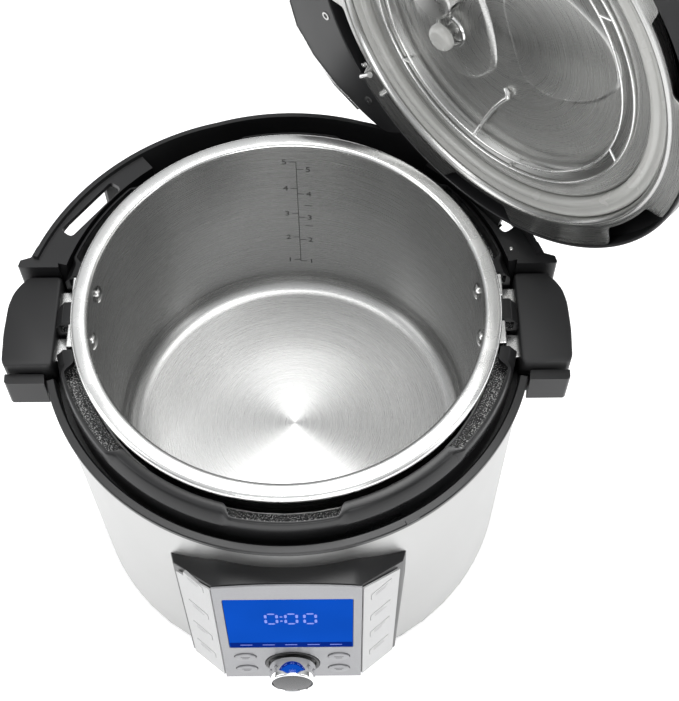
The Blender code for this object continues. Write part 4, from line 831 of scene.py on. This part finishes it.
def make_top_ring():
    body = cut(swept([(azimuth, ring_section(azimuth)) for azimuth in ring_azimuths()]),
               *slot_tools(), *[mirrored(tool) for tool in slot_tools()])
    shapes = [body] + handle_shapes() + [mirrored(shape) for shape in handle_shapes()]
    nub = moved(turned([(0.0, 0.0), (2.2, 0.0), (2.2, 2.6), (1.4, 3.2), (0.0, 3.2)], 24),
                Matrix.Translation((*polar(TROUGH_OUTER - 1.6, -107.0), SHELF - 0.2)))
    clip = arc_piece([(SKIRT_OUTER - 2.4, LIP - 0.2), (SKIRT_OUTER - 0.2, LIP - 0.2), (SKIRT_OUTER - 0.2, LIP + 0.9),
                      (SKIRT_OUTER - 2.4, LIP + 0.9)], -62.6, -59.4)
    piece("ring", together(*shapes, nub, clip), BLACK, "base", replaces=["top_ring"], bevel=0.5)
    dot = turned([(0.0, 0.5), (0.9, 0.4), (1.2, 0.0), (0.0, 0.0)], 28)
    place = Matrix.Translation((FLANGE_OUTER - 1.5, HANDLE_REAR + 11.0, FLANGE_TOP))
    piece("ring_dot", moved(dot, place), SATIN_STEEL, "base")


def smooth_step(value):
    value = min(1.0, max(0.0, value))
    return value * value * (3.0 - 2.0 * value)


def pocket_share(azimuth):
    """1 inside a pocket and 0 on a lug, with short rounded ends."""
    pitch = 360.0 / POCKETS
    place = (azimuth - POCKET_START) % pitch
    return smooth_step(place / 2.4) * smooth_step((POCKET_ANGLE - place) / 2.4)


def flange_section(azimuth):
    share = pocket_share(azimuth)
    inner = LUG_INNER + (POCKET_RADIUS - 0.4 - LUG_INNER) * share
    edge = FLANGE_OUTER - 5.0 + 2.8 * share
    leg = FLANGE_OUTER - 3.5
    return [
        (FLANGE_OUTER, FLANGE_LOW), (FLANGE_OUTER, POCKET_FLOOR + 3.0), (FLANGE_OUTER - 0.25, POCKET_FLOOR + 5.0),
        (edge + 1.3, FLANGE_TOP - 1.6), (edge + 0.7, FLANGE_TOP - 0.5),
        (edge, FLANGE_TOP), (inner + 0.1, FLANGE_TOP), (inner, FLANGE_TOP - 0.6),
        (inner + 0.15, LUG_UNDER), (POCKET_RADIUS, LUG_UNDER), (POCKET_RADIUS, POCKET_FLOOR + 0.8),
        (POCKET_RADIUS - 0.8, POCKET_FLOOR), (RING_INNER + 0.5, POCKET_FLOOR), (RING_INNER + 0.5, POCKET_FLOOR - 3.0),
        (leg, POCKET_FLOOR - 3.0), (leg, FLANGE_LOW),
    ]


def make_flange():
    azimuths = [0.75 * i - 180.0 for i in range(480)]
    openings = []
    half = STRAP_WIDTH / 2.0 + 1.5
    high = STRAP_HIGH - 3.5
    for row in STRAP_ROWS:
        for side in (-1.0, 1.0):
            x0, x1 = sorted((side * 113.0, side * 180.0))
            openings.append(block(x0, x1, row - half, row + half, high, 300.0))
            x0, x1 = sorted((side * (STRAP_STEP - 3.5), side * 180.0))
            openings.append(block(x0, x1, row - half, row + half, STRAP_LOW - 4.5, high + 1.0))
    bm = cut(swept([(azimuth, flange_section(azimuth)) for azimuth in azimuths]), *openings)
    flange = piece("flange", bm, FLANGE_BLACK, "base", replaces=["locking_flange"],
                   sharp=40.0)
    # The pocket floors get the material with painted glints.
    paint(flange, PAINTED_GLINTS, lambda at, normal: at.z < POCKET_FLOOR + 0.9 and normal.z > 0.5
          and math.hypot(at.x, at.y) < POCKET_RADIUS)
    # Raised pads in the pockets, coloured with painted glints.
    grain = []
    for number in range(POCKETS):
        middle = POCKET_START + 360.0 / POCKETS * number + POCKET_ANGLE / 2.0
        grain.append(arc_piece([(LUG_INNER + 0.8, POCKET_FLOOR + 0.1), (POCKET_RADIUS - 1.0, POCKET_FLOOR + 0.1),
                                (POCKET_RADIUS - 1.6, POCKET_FLOOR + 1.3), (LUG_INNER + 1.2, POCKET_FLOOR + 0.8)],
                               middle - 12.5, middle + 12.5))
    piece("flange_pads", together(*grain), PAINTED_GLINTS, "base")


# ---------------------------------------------------------------- panel


def panel_matrix():
    tilt = math.radians(PANEL_TILT)
    up = Vector((0.0, math.sin(tilt), math.cos(tilt)))
    out = Vector((0.0, -math.cos(tilt), math.sin(tilt)))
    matrix = Matrix((Vector((1.0, 0.0, 0.0)), up, out)).transposed().to_4x4()
    matrix.translation = PANEL_CENTRE
    return matrix


def wing_matrix(side):
    hinge = Matrix.Translation((side * FACE_HALF_WIDTH, 0.0, 0.0))
    return panel_matrix() @ hinge @ Matrix.Rotation(side * math.radians(WING_TURN), 4, "Y")


def face_outline(border, steps=14):
    half_x, half_y = FACE_HALF_WIDTH + border, FACE_HALF_HEIGHT + border
    arch = [(half_x * (1.0 - 2.0 * i / steps), half_y + FACE_ARCH * (1.0 - (1.0 - 2.0 * i / steps) ** 2))
            for i in range(steps + 1)]
    return [(-half_x, -half_y), (half_x, -half_y)] + arch


def wing_outline(side, border):
    points = [(0.9, -FACE_HALF_HEIGHT + 0.5 - border), (WING_BOTTOM[0] + border, WING_BOTTOM[1] - border),
              (WING_TOP[0] + border, WING_TOP[1] + border), (0.9, FACE_HALF_HEIGHT - 0.5 + border)]
    return [(side * x, y) for x, y in points]


def make_bezel():
    seat = -1.5
    points = [panel_matrix() @ Vector((x, y, seat)) for x, y in face_outline(-0.5)]
    for side in (-1.0, 1.0):
        points += [wing_matrix(side) @ Vector((x, y, seat)) for x, y in wing_outline(side, 1.5)[1:3]]
    top = PANEL_CENTRE.z + FACE_HALF_HEIGHT
    bottom = PANEL_CENTRE.z - FACE_HALF_HEIGHT
    behind = -(SHELL_RADIUS - 9.0)
    for side in (-1.0, 1.0):
        points += [Vector((side * 38.0, behind, top + 0.5)), Vector((side * 68.0, -112.0, top - 21.0)),
                   Vector((side * 60.0, -114.0, bottom - 11.0)), Vector((side * 38.0, behind, bottom - 15.0))]
    piece("bezel", hull(points), BLACK, "base", replaces=["panel_bezel"], bevel=0.7)
    ring = turned([(DIAL_RADIUS + 0.45, seat - 1.0), (DIAL_RADIUS + 2.25, seat - 1.0),
                   (DIAL_RADIUS + 2.25, 0.2),
                   (DIAL_RADIUS + 1.8, 0.5), (DIAL_RADIUS + 0.9, 0.5), (DIAL_RADIUS + 0.45, 0.2)], 96)
    piece("dial_ring", moved(ring, Matrix.Translation((0.0, DIAL_ROW, 0.0))), BLACK, "base", matrix=panel_matrix())
    notch = block(-0.8, 0.8, -0.8, 0.8, 0.0, 0.35)
    roof = Matrix.Translation((0.0, -SHELL_RADIUS - 5.0, top + 0.35))
    piece("roof_mark", moved(notch, roof), CHROME, "base", bevel=0.2)


def make_fascia():
    low, high = WINDOW_SPAN
    tools = [prism(filleted([(-WINDOW_HALF_WIDTH, low), (WINDOW_HALF_WIDTH, low), (WINDOW_HALF_WIDTH, high),
                             (-WINDOW_HALF_WIDTH, high)], 1.5, 4), -5.0, 5.0),
             prism(ellipse(DIAL_RADIUS + 2.55, DIAL_RADIUS + 2.55, (0.0, DIAL_ROW), 96), -5.0, 5.0)]
    for row in BUTTON_ROWS.values():
        tools += [prism(ellipse(6.55, 5.05, (side * BUTTON_COLUMN, row)), -5.0, 5.0) for side in (-1.0, 1.0)]
    piece("fascia", cut(prism(face_outline(-0.3), -1.2, 0.0), *tools), SILVER, "base", matrix=panel_matrix(),
          replaces=["panel_fascia"], bevel=0.25)


def seven_segments(lit, height, width, thick):
    """Outlines of a digit's lit bars: a to f clockwise from the top, and g across the middle."""
    half_w, half_h, gap = width / 2.0, height / 2.0, thick * 0.62

    def bar(x0, y0, x1, y1):
        start, end = Vector((x0, y0)), Vector((x1, y1))
        along = (end - start).normalized()
        across = Vector((-along.y, along.x)) * thick / 2.0
        tip = along * thick / 2.0
        start, end = start + along * gap, end - along * gap
        return [tuple(p) for p in (start, start + tip + across, end - tip + across, end, end - tip - across,
                                   start + tip - across)]

    spans = {
        "a": (-half_w, half_h, half_w, half_h), "b": (half_w, half_h, half_w, 0.0),
        "c": (half_w, 0.0, half_w, -half_h), "d": (-half_w, -half_h, half_w, -half_h),
        "e": (-half_w, 0.0, -half_w, -half_h), "f": (-half_w, half_h, -half_w, 0.0),
        "g": (-half_w, 0.0, half_w, 0.0),
    }
    return [bar(*spans[name]) for name in lit]


def make_display():
    low, high = WINDOW_SPAN
    half = WINDOW_HALF_WIDTH - 0.3
    to_face = panel_matrix()
    glass = prism(filleted([(-half, low + 0.3), (half, low + 0.3), (half, high - 0.3), (-half, high - 0.3)], 1.3, 4),
                  -1.2, -0.25)
    piece("display", glass, WINDOW, "base", matrix=to_face, replaces=["lcd_window"])
    strip = block(-half + 0.4, half - 0.4, low + 0.6, low + 7.0, -0.3, -0.2)
    piece("display_strip", strip, WINDOW_DARK, "base", matrix=to_face)
    lit = []
    for x in (-10.0, 1.2, 11.8):
        for outline in seven_segments("abcdef", 12.6, 6.3, 1.5):
            lit.append(prism([(x + a, 21.0 + b) for a, b in outline], -0.22, -0.12))
    for y in (18.3, 23.7):
        lit.append(prism(ellipse(0.8, 0.8, (-4.4, y), 20), -0.22, -0.12))
    for i in range(5):
        x = -26.0 + 13.0 * i
        lit.append(block(x - 3.5, x + 3.5, low + 3.5, low + 4.1, -0.22, -0.12))
    piece("display_digits", together(*lit), DIGIT, "base", matrix=to_face)


def make_buttons():
    for level, row in BUTTON_ROWS.items():
        for label, side in (("left", -1.0), ("right", 1.0)):
            name = f"button_{level}_{label}"
            place = panel_matrix() @ Matrix.Translation((side * BUTTON_COLUMN, row, 0.0))
            rings = [(6.25, 4.75, -7.4), (6.25, 4.75, 0.35), (5.95, 4.45, 0.75), (5.3, 3.8, 0.9)]
            bm = bmesh.new()
            rows = [[bm.verts.new((x, y, z)) for x, y in ellipse(a, b)] for a, b, z in rings]
            for first, second in zip(rows, rows[1:]):
                for j in range(len(first)):
                    k = (j + 1) % len(first)
                    bm.faces.new((first[j], first[k], second[k], second[j]))
            bm.faces.new(rows[0])
            bm.faces.new(rows[-1])
            piece(f"{name}_cap", outward(bm), SILVER, name, matrix=place, replaces=[name])
            marks = together(block(-2.8, 2.8, 0.75, 1.25, 0.88, 0.94), block(-1.9, 1.9, -1.05, -0.55, 0.88, 0.94))
            piece(f"{name}_mark", marks, PRINT, name, matrix=place)


def make_keys():
    icons = {
        1: [(-4.5, 4.5, 1.0, 1.6), (-4.5, 3.0, -1.0, -0.4)],
        2: [(-4.5, 2.5, 1.0, 1.6), (-4.5, 4.5, -1.0, -0.4)],
        3: [(-4.5, 4.0, 1.0, 1.6), (-4.5, 1.5, -1.0, -0.4)],
        4: [(-4.5, 3.2, 1.0, 1.6), (-4.5, 4.2, -1.0, -0.4)],
    }
    for label, side in (("left", -1.0), ("right", 1.0)):
        tools = []
        for row in KEY_ROWS[side]:
            x = side * KEY_OUT
            corners = [(x - 7.65, row - 3.65), (x + 7.65, row - 3.65), (x + 7.65, row + 3.65), (x - 7.65, row + 3.65)]
            tools.append(prism(filleted(corners, 1.2, 4), -5.0, 5.0))
        wing = cut(prism(wing_outline(side, -2.0), -1.2, 0.0), *tools)
        piece(f"wing_cover_{label}", wing, LIGHT, "base", matrix=wing_matrix(side), replaces=[f"wing_{label}"],
              bevel=0.25)
        for number, row in enumerate(KEY_ROWS[side], 1):
            name = f"key_{label}_{number}"
            place = wing_matrix(side) @ Matrix.Translation((side * KEY_OUT, row, 0.0))
            corners = filleted([(-7.5, -3.5), (7.5, -3.5), (7.5, 3.5), (-7.5, 3.5)], 1.2, 4)
            piece(f"{name}_cap", prism(corners, -1.7, 0.2), LIGHT, name, matrix=place, replaces=[name], bevel=0.15)
            lines = [block(x0, x1, y0, y1, 0.18, 0.24) for x0, x1, y0, y1 in icons[number]]
            piece(f"{name}_icon", together(*lines), ICON, name, matrix=place)


def make_dial():
    place = panel_matrix() @ Matrix.Translation((0.0, DIAL_ROW, 0.0))
    low, high, radius = 1.2, DIAL_HEIGHT, DIAL_RADIUS
    knob = turned([
        (3.3, low), (radius - 0.9, low), (radius - 0.4, low + 0.15), (radius - 0.1, low + 0.5), (radius, low + 1.0),
        (radius, high - 1.1), (radius - 0.15, high - 0.5), (radius - 0.6, high - 0.1), (radius - 1.0, high),
        (radius - 1.5, high - 0.1), (radius - 1.8, high - 0.6), (radius - 1.8, high - 2.8), (3.3, high - 2.8),
    ], 128)
    piece("dial_body", knob, CHROME, "dial", matrix=place, replaces=["dial_knob"])
    cap = turned([
        (0.0, high - 2.5), (radius - 2.1, high - 2.5), (radius - 2.1, high - 1.0),
        (radius - 2.5, high - 0.6), (radius - 5.0, high - 0.25), (0.0, high - 0.05),
    ], 96)
    piece("dial_face", cap, GREY, "dial", matrix=place, replaces=["dial_cap"])


# ---------------------------------------------------------------- lid


def lid_matrix():
    out = Vector((math.cos(math.pi / 4), math.sin(math.pi / 4), 0.0))
    level = Vector((-math.sin(math.pi / 4), math.cos(math.pi / 4), 0.0))
    matrix = Matrix((level, Vector((0.0, 0.0, 1.0)), out)).transposed().to_4x4()
    distance, shift, height = LID_PLACE
    matrix.translation = out * distance + level * shift + Vector((0.0, 0.0, height))
    return matrix


def notch_share(angle):
    place = (angle - LID_NOTCH_START + LID_NOTCH_ANGLE / 2.0) % 60.0
    return smooth_step(place / 3.5) * smooth_step((LID_NOTCH_ANGLE - place) / 3.5)


def pan_section(angle):
    edge = LID_LUG_RADIUS + (LID_NOTCH_RADIUS - LID_LUG_RADIUS) * notch_share(angle)
    drop = -2.0 + 1.4 * notch_share(angle)
    under = [
        (edge, drop), (edge - 0.8, drop - 0.05), (LID_RIDGE + 2.2, -0.6), (LID_RIDGE + 1.2, -0.9),
        (LID_RIDGE + 0.4, -1.4), (LID_RIDGE - 0.4, -1.4), (LID_RIDGE - 1.2, -0.7), (LID_RIDGE - 1.7, 0.0),
        (108.5, 0.6), (108.5, 9.5), (97.3, 9.5), (97.2, 6.6), (96.7, 6.05), (95.9, 5.9), (94.9, 6.2), (88.6, 6.2),
        (87.6, 6.0), (86.2, 6.4), (81.0, 9.9), (79.2, 10.9), (76.5, 11.05), (40.0, 11.4), (3.0, 11.6),
    ]
    over = [
        (3.0, 12.6), (76.5, 12.1), (79.9, 11.9), (88.3, 7.4), (95.8, 7.2), (96.2, 10.5), (109.5, 10.5),
        (109.5, 0.8), (LID_RIDGE + 1.6, 0.3), (edge, drop + 1.0),
    ]
    return under + over


def make_pan():
    angles = [0.9 * i for i in range(400)]
    pan = swept([(angle, pan_section(angle)) for angle in angles])
    plug = turned([(0.0, 11.6), (3.2, 11.6), (3.2, 12.6), (0.0, 12.6)], 64)
    piece("pan", together(pan, plug), LID_STEEL, "lid", matrix=lid_matrix(), replaces=["lid_pan"],
          sharp=45.0)
    spots = []
    for x, y, radius in ((*polar(117.0, -52.0), 1.7), (*polar(116.0, -42.0), 1.5), (*polar(117.0, 128.0), 1.7)):
        head = turned([(0.0, -3.4), (radius * 0.4, -3.4), (radius * 0.5, -3.0), (radius, -2.9), (radius, -1.0),
                       (0.0, -1.0)], 24)
        spots.append(moved(head, Matrix.Translation((x, y, 0.0))))
    piece("pan_screws", together(*spots), BRIGHT, "lid", matrix=lid_matrix())


def smooth_loop(points, count=10):
    """A closed curve through points."""
    spots = [Vector(point) for point in points]
    size = len(spots)
    curve = []
    for i in range(size):
        a, b, c, d = (spots[(i + k - 1) % size] for k in range(4))
        for j in range(count):
            t = j / count
            curve.append(tuple(0.5 * ((2 * b) + (c - a) * t + (2 * a - 5 * b + 4 * c - d) * t * t
                                      + (3 * b - a - 3 * c + d) * t ** 3)))
    return curve


def raised_area(loop, low, rise, slope):
    """A low plateau with sloped sides, standing out of the pan's underside."""
    centre = sum((Vector(point) for point in loop), Vector((0.0, 0.0))) / len(loop)
    levels = [(0.0, low + 0.4), (0.0, low), (slope * 0.4, low - rise * 0.35), (slope, low - rise * 0.9),
              (slope * 1.4, low - rise)]
    bm = bmesh.new()
    rows = []
    for inset, z in levels:
        row = []
        for point in loop:
            away = Vector(point) - centre
            row.append(bm.verts.new((*(centre + away * (1.0 - inset / away.length)), z)))
        rows.append(row)
    for first, second in zip(rows, rows[1:]):
        for j in range(len(first)):
            k = (j + 1) % len(first)
            bm.faces.new((first[j], first[k], second[k], second[j]))
    bm.faces.new(rows[0])
    bm.faces.new(rows[-1])
    return outward(bm)


def make_embosses():
    centre = smooth_loop([(4.8, 23.5), (-11.9, -14.5), (-21.8, -21.3), (-39.0, -19.1), (-57.0, -7.5), (-69.0, 9.3),
                          (-72.0, 24.0), (-60.0, 42.0), (-30.0, 52.0), (-4.0, 46.0)])
    valves = smooth_loop([(16.5, 15.4), (2.4, -21.6), (12.0, -42.0), (30.5, -48.7), (52.0, -36.0), (66.0, -12.0),
                          (62.0, 18.0), (38.0, 30.0)])
    shapes = [raised_area(centre, 11.4, 1.5, 2.4), raised_area(valves, 11.3, 1.8, 2.4)]
    float_hole = moved(turned([(0.0, 0.0), (8.8, 0.0), (8.8, 20.0), (0.0, 20.0)], 48),
                       Matrix.Translation((*FLOAT_PLACE, 0.0)))
    shapes[1] = cut(shapes[1], float_hole)
    piece("pan_embosses", together(*shapes), LID_STEEL, "lid", matrix=lid_matrix(), sharp=60.0)


def make_seal():
    low, high = 1.8, 9.2
    outline = [(97.6, high), (97.6, low + 2.4)] + bend(99.6, low + 2.0, 2.0, 180.0, 270.0, 5)
    outline += [(101.4, low + 0.4), (102.4, low + 1.3), (103.6, low + 1.3), (104.4, low + 0.4)]
    outline += bend(106.2, low + 2.0, 2.0, 270.0, 360.0, 5) + [(108.2, high)]
    piece("seal", turned(outline), SEAL, "lid", matrix=lid_matrix(), replaces=["sealing_ring"],
          sharp=60.0)


def make_rack():
    level, thick = 4.6, 0.8
    shapes = []
    for radius in (87.0, 80.0):
        around = [math.tau * i / 10 for i in range(10)]
        shapes.append(turned([(radius + thick * math.cos(a), level + thick * math.sin(a)) for a in around]))
    for i in range(6):
        angle = 60.0 * (i + 0.25)
        start, end = polar(80.0, angle - 1.5), polar(87.0, angle + 1.5)
        shapes.append(wire([(*start, level), (*end, level)], thick * 0.9))
    shapes.append(wire([(4.5, -71.7, 8.2), (1.2, -62.0, 7.6), (-2.6, -52.0, 7.5), (-6.4, -44.0, 7.8),
                        (-9.5, -38.8, 8.6)], 1.3, 14))
    shapes.append(wire([(-9.5, -38.8, 8.6), (-8.4, -36.4, 9.6), (-6.0, -35.4, 10.4)], 1.3, 14))
    shapes.append(wire([(4.5, -71.7, 8.2), (5.6, -75.6, 6.9), (6.3, -79.6, 4.8)], 1.3, 14))
    piece("rack", together(*shapes), BRIGHT, "lid", matrix=lid_matrix(), replaces=["ring_rack"],
          sharp=60.0)


def wing_knots(outward_by):
    knots = [(152.0, -20.5), (164.0, -25.0), (167.0, -31.0), (164.0, -38.0), (157.0, -46.0), (149.0, -53.0),
             (143.5, -58.0)]
    return [polar(radius + outward_by, angle) for radius, angle in knots]


def lid_wing():
    inner = LID_COVER_RADIUS - 0.9
    arc = [polar(inner, -64.0 + 2.0 * i) for i in range(24)]
    return prism(filleted(wing_knots(0.0) + [polar(138.0, -61.5)] + arc, 4.0, 3), -2.5, 17.0)


def lid_fin():
    skirt = LID_COVER_RADIUS - 0.9
    x0, x1, reach = -24.8, 3.2, 139.0
    points = filleted([(x0, -reach + 4.0), (x0 + 4.0, -reach), (x1 - 4.0, -reach), (x1, -reach + 4.0)], 2.0, 4)
    points += [(x, -math.sqrt(skirt * skirt - x * x)) for x in (x1, x1 - 9.0, x1 - 18.0, x0)]
    return prism(points, 0.0, 3.0)


def half_turn(bm):
    return moved(bm, Matrix.Rotation(math.pi, 4, "Z"))


def make_cover():
    outer, dome = LID_COVER_RADIUS, LID_DOME
    outside = [(outer - 0.5, -2.5), (outer, -2.0), (outer, 7.5), (outer - 0.8, 9.0), (outer - 2.6, 11.0),
               (121.0, 18.5), (118.0, 26.0), (113.0, 32.0), (105.0, 37.0), (96.0, 40.5), (84.0, 43.8), (72.0, 45.6),
               (64.0, dome), (0.0, dome)]
    inside = [(0.0, dome - 2.0), (69.6, dome - 2.0), (95.0, dome - 8.0), (116.4, 25.0), (120.6, 11.0),
              (outer - 1.8, 7.0), (outer - 1.8, -2.0), (outer - 1.4, -2.5)]
    shapes = [turned(outside + inside), lid_wing(), half_turn(lid_wing()), lid_fin(), half_turn(lid_fin())]
    piece("cover", moved(together(*shapes), lid_matrix()), LID_BLACK, "lid", replaces=["lid_cover"], bevel=0.8)
    hooks = []
    for x, y in (polar(131.5, -27.0), polar(133.0, -52.0)):
        ring = turned([(1.5, -2.9), (2.6, -2.9), (2.6, -2.2), (1.5, -2.2)], 28)
        hooks.append(moved(ring, Matrix.Translation((x, y, 0.0))))
    piece("cover_screws", together(*hooks), SATIN_STEEL, "lid", matrix=lid_matrix())
    for label, turn in (("right", outward), ("left", half_turn)):
        near, far = wing_knots(0.3)[1:-1], wing_knots(1.6)[1:-1]
        strip = prism(far + wing_knots(-1.2)[1:-1][::-1], -2.95, -2.55)
        edge = prism(far + near[::-1], -1.5, 14.0)
        piece(f"trim_{label}", turn(together(edge, strip)), BRIGHT, "lid", matrix=lid_matrix(),
              replaces=[f"lid_trim_{label}"], bevel=0.3)


def make_lid_handle():
    foot = LID_DOME + 0.3
    outline = filleted([(-56.0, foot), (-40.0, foot), (-30.0, foot + 12.0), (30.0, foot + 12.0), (40.0, foot),
                        (56.0, foot), (54.0, foot + 14.0), (40.0, foot + 24.0), (-40.0, foot + 24.0),
                        (-54.0, foot + 14.0)], 7.0, 6)
    bm = loft([(a, -14.0, z) for a, z in outline], [(a, 14.0, z) for a, z in outline])
    turn = Matrix.Rotation(math.radians(75.0), 4, "Z")
    piece("handle", moved(bm, turn), LID_BLACK, "lid", matrix=lid_matrix(), replaces=["lid_handle"], bevel=3.0)


def make_valves():
    at_valve = lid_matrix() @ Matrix.Translation((*VALVE_PLACE, 0.0))
    at_float = lid_matrix() @ Matrix.Translation((*FLOAT_PLACE, 0.0))
    slots = [moved(block(11.0, 16.0, -1.0, 1.0, 5.6, 12.0), Matrix.Rotation(math.tau * i / 10, 4, "Z"))
             for i in range(10)]
    cup = turned([(0.0, 3.5), (11.5, 3.5), (13.0, 3.9), (13.8, 4.8), (14.0, 6.0), (14.0, 10.7), (12.6, 10.7),
                  (12.6, 5.2), (0.0, 5.2)], 96)
    piece("shield", cut(cup, *slots), SATIN_STEEL, "lid", matrix=at_valve, replaces=["anti_block_shield"])
    cap = turned([(0.0, -1.0), (4.6, -1.0), (6.4, -0.6), (7.4, 0.4), (7.8, 1.8), (7.8, 3.4), (7.2, 4.0), (6.0, 4.4),
                  (3.8, 4.4), (3.8, 0.3), (0.0, 0.3)], 64)
    piece("float_seal", cap, SEAL, "float", matrix=at_float, replaces=["float_cap"])
    collar = turned([(8.6, 8.6), (9.8, 8.6), (10.4, 9.4), (10.4, 10.6), (8.2, 10.6), (8.2, 9.2)], 64)
    piece("float_collar", collar, BRIGHT, "lid", matrix=at_float)
    weight = turned([(0.0, 40.0), (3.2, 40.0), (3.2, 46.4), (12.6, 46.4), (13.6, 47.0), (14.0, 48.0), (13.4, 52.0),
                     (12.4, 57.0), (11.6, 59.6), (10.4, 60.8), (0.0, 60.8)], 96)
    piece("steam_weight", weight, LID_BLACK, "valve", matrix=at_valve, replaces=["steam_valve"])


# ---------------------------------------------------------------- carried-over solids, camera, light

KEPT = {
    "base_tray": (BLACK, 0.5), "foot_rear_left": (RUBBER, 0.4), "foot_front_left": (RUBBER, 0.4),
    "foot_rear_right": (RUBBER, 0.4), "foot_front_right": (RUBBER, 0.4), "power_board": (BOARD, 0.2),
    "inner_housing": (SATIN_STEEL, 0.0), "heating_plate": (ALUMINIUM, 0.4), "sensor_bracket": (SATIN_STEEL, 0.2),
    "sensor_spring": (BRIGHT, 0.0), "thermal_sensor": (ALUMINIUM, 0.0), "power_inlet": (BLACK, 0.3),
    "cup_holder": (BLACK, 0.3), "condensation_cup": (SMOKE, 0.2), "control_board": (BOARD, 0.2),
    "dial_shaft": (SATIN_STEEL, 0.2), "release_button": (GREY, 0.3), "float_valve": (BRIGHT, 0.2),
    "lock_pin": (BRIGHT, 0.2),
}


def finish_kept():
    for name, (material, bevel) in KEPT.items():
        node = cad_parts[name]
        node.data.materials.clear()
        node.data.materials.append(material)
        node.data.shade_smooth()
        node.data.set_sharp_from_angle(angle=math.radians(35.0))
        if bevel:
            add_bevel(node, bevel, 2)


def make_camera():
    camera = bpy.data.cameras.new("camera")
    camera.lens = CAMERA_LENS
    camera.sensor_width = 36.0
    camera.clip_start = 0.01
    holder = bpy.data.objects.new("camera", camera)
    bpy.context.scene.collection.objects.link(holder)
    pitch, roll = math.radians(CAMERA_PITCH), math.radians(CAMERA_ROLL)
    forward = Vector((0.0, math.cos(pitch), -math.sin(pitch)))
    right = Vector((1.0, 0.0, 0.0))
    up = right.cross(forward)
    level = right * math.cos(roll) + up * math.sin(roll)
    rise = up * math.cos(roll) - right * math.sin(roll)
    matrix = Matrix((level, rise, -forward)).transposed().to_4x4()
    matrix.translation = CAMERA_PLACE * MM
    holder.matrix_world = matrix
    bpy.context.scene.camera = holder


def make_floor():
    bm = bmesh.new()
    bmesh.ops.create_grid(bm, x_segments=8, y_segments=8, size=6.0)
    mesh = bpy.data.meshes.new("floor")
    bm.to_mesh(mesh)
    bm.free()
    surface = Surface("floor_white", (0.93, 0.93, 0.93), 0.9)
    surface.set("Emission Color", (1.0, 1.0, 1.0, 1.0))
    surface.set("Emission Strength", 0.5)
    mesh.materials.append(surface.material)
    floor = bpy.data.objects.new("floor", mesh)
    bpy.context.scene.collection.objects.link(floor)


def add_light(name, place, aim, size, power, size_y=None):
    light = bpy.data.lights.new(name, "AREA")
    light.energy = power
    light.size = size
    if size_y:
        light.shape = "RECTANGLE"
        light.size_y = size_y
    holder = bpy.data.objects.new(name, light)
    bpy.context.scene.collection.objects.link(holder)
    holder.location = place
    holder.rotation_euler = (Vector(aim) - Vector(place)).to_track_quat("-Z", "Y").to_euler()


def make_lights():
    world = bpy.data.worlds.new("studio")
    bpy.context.scene.world = world
    world.use_nodes = True
    nodes, links = world.node_tree.nodes, world.node_tree.links
    background = nodes["Background"]
    background.inputs["Color"].default_value = (0.94, 0.95, 0.96, 1.0)
    split = nodes.new("ShaderNodeSeparateXYZ")
    links.new(nodes.new("ShaderNodeTexCoord").outputs["Generated"], split.inputs[0])
    rise = nodes.new("ShaderNodeMapRange")
    rise.inputs["From Min"].default_value = 0.0
    rise.inputs["From Max"].default_value = 0.8
    rise.inputs["To Min"].default_value = 0.12
    rise.inputs["To Max"].default_value = 0.8
    links.new(split.outputs["Z"], rise.inputs["Value"])
    links.new(rise.outputs[0], background.inputs["Strength"])
    add_light("top_box", (0.1, 0.25, 1.7), (0.0, 0.0, 0.2), 1.0, 12.0, 0.7)
    add_light("left_box", (-1.5, -0.3, 0.9), (0.0, 0.0, 0.15), 0.7, 5.5, 1.3)
    add_light("right_box", (1.5, -0.5, 0.8), (0.0, 0.0, 0.15), 0.5, 4.0, 1.3)
    add_light("front_box", (0.1, -1.5, 0.8), (0.0, 0.0, 0.15), 1.2, 7.0, 0.6)


def main():
    make_camera()
    make_floor()
    make_lights()
    make_pot()
    make_scale()
    make_pot_handles()
    make_shell()
    make_top_ring()
    make_flange()
    make_bezel()
    make_fascia()
    make_display()
    make_buttons()
    make_keys()
    make_dial()
    make_pan()
    make_embosses()
    make_seal()
    make_rack()
    make_cover()
    make_lid_handle()
    make_valves()
    finish_kept()
    bpy.context.scene.view_settings.view_transform = "Standard"


main()
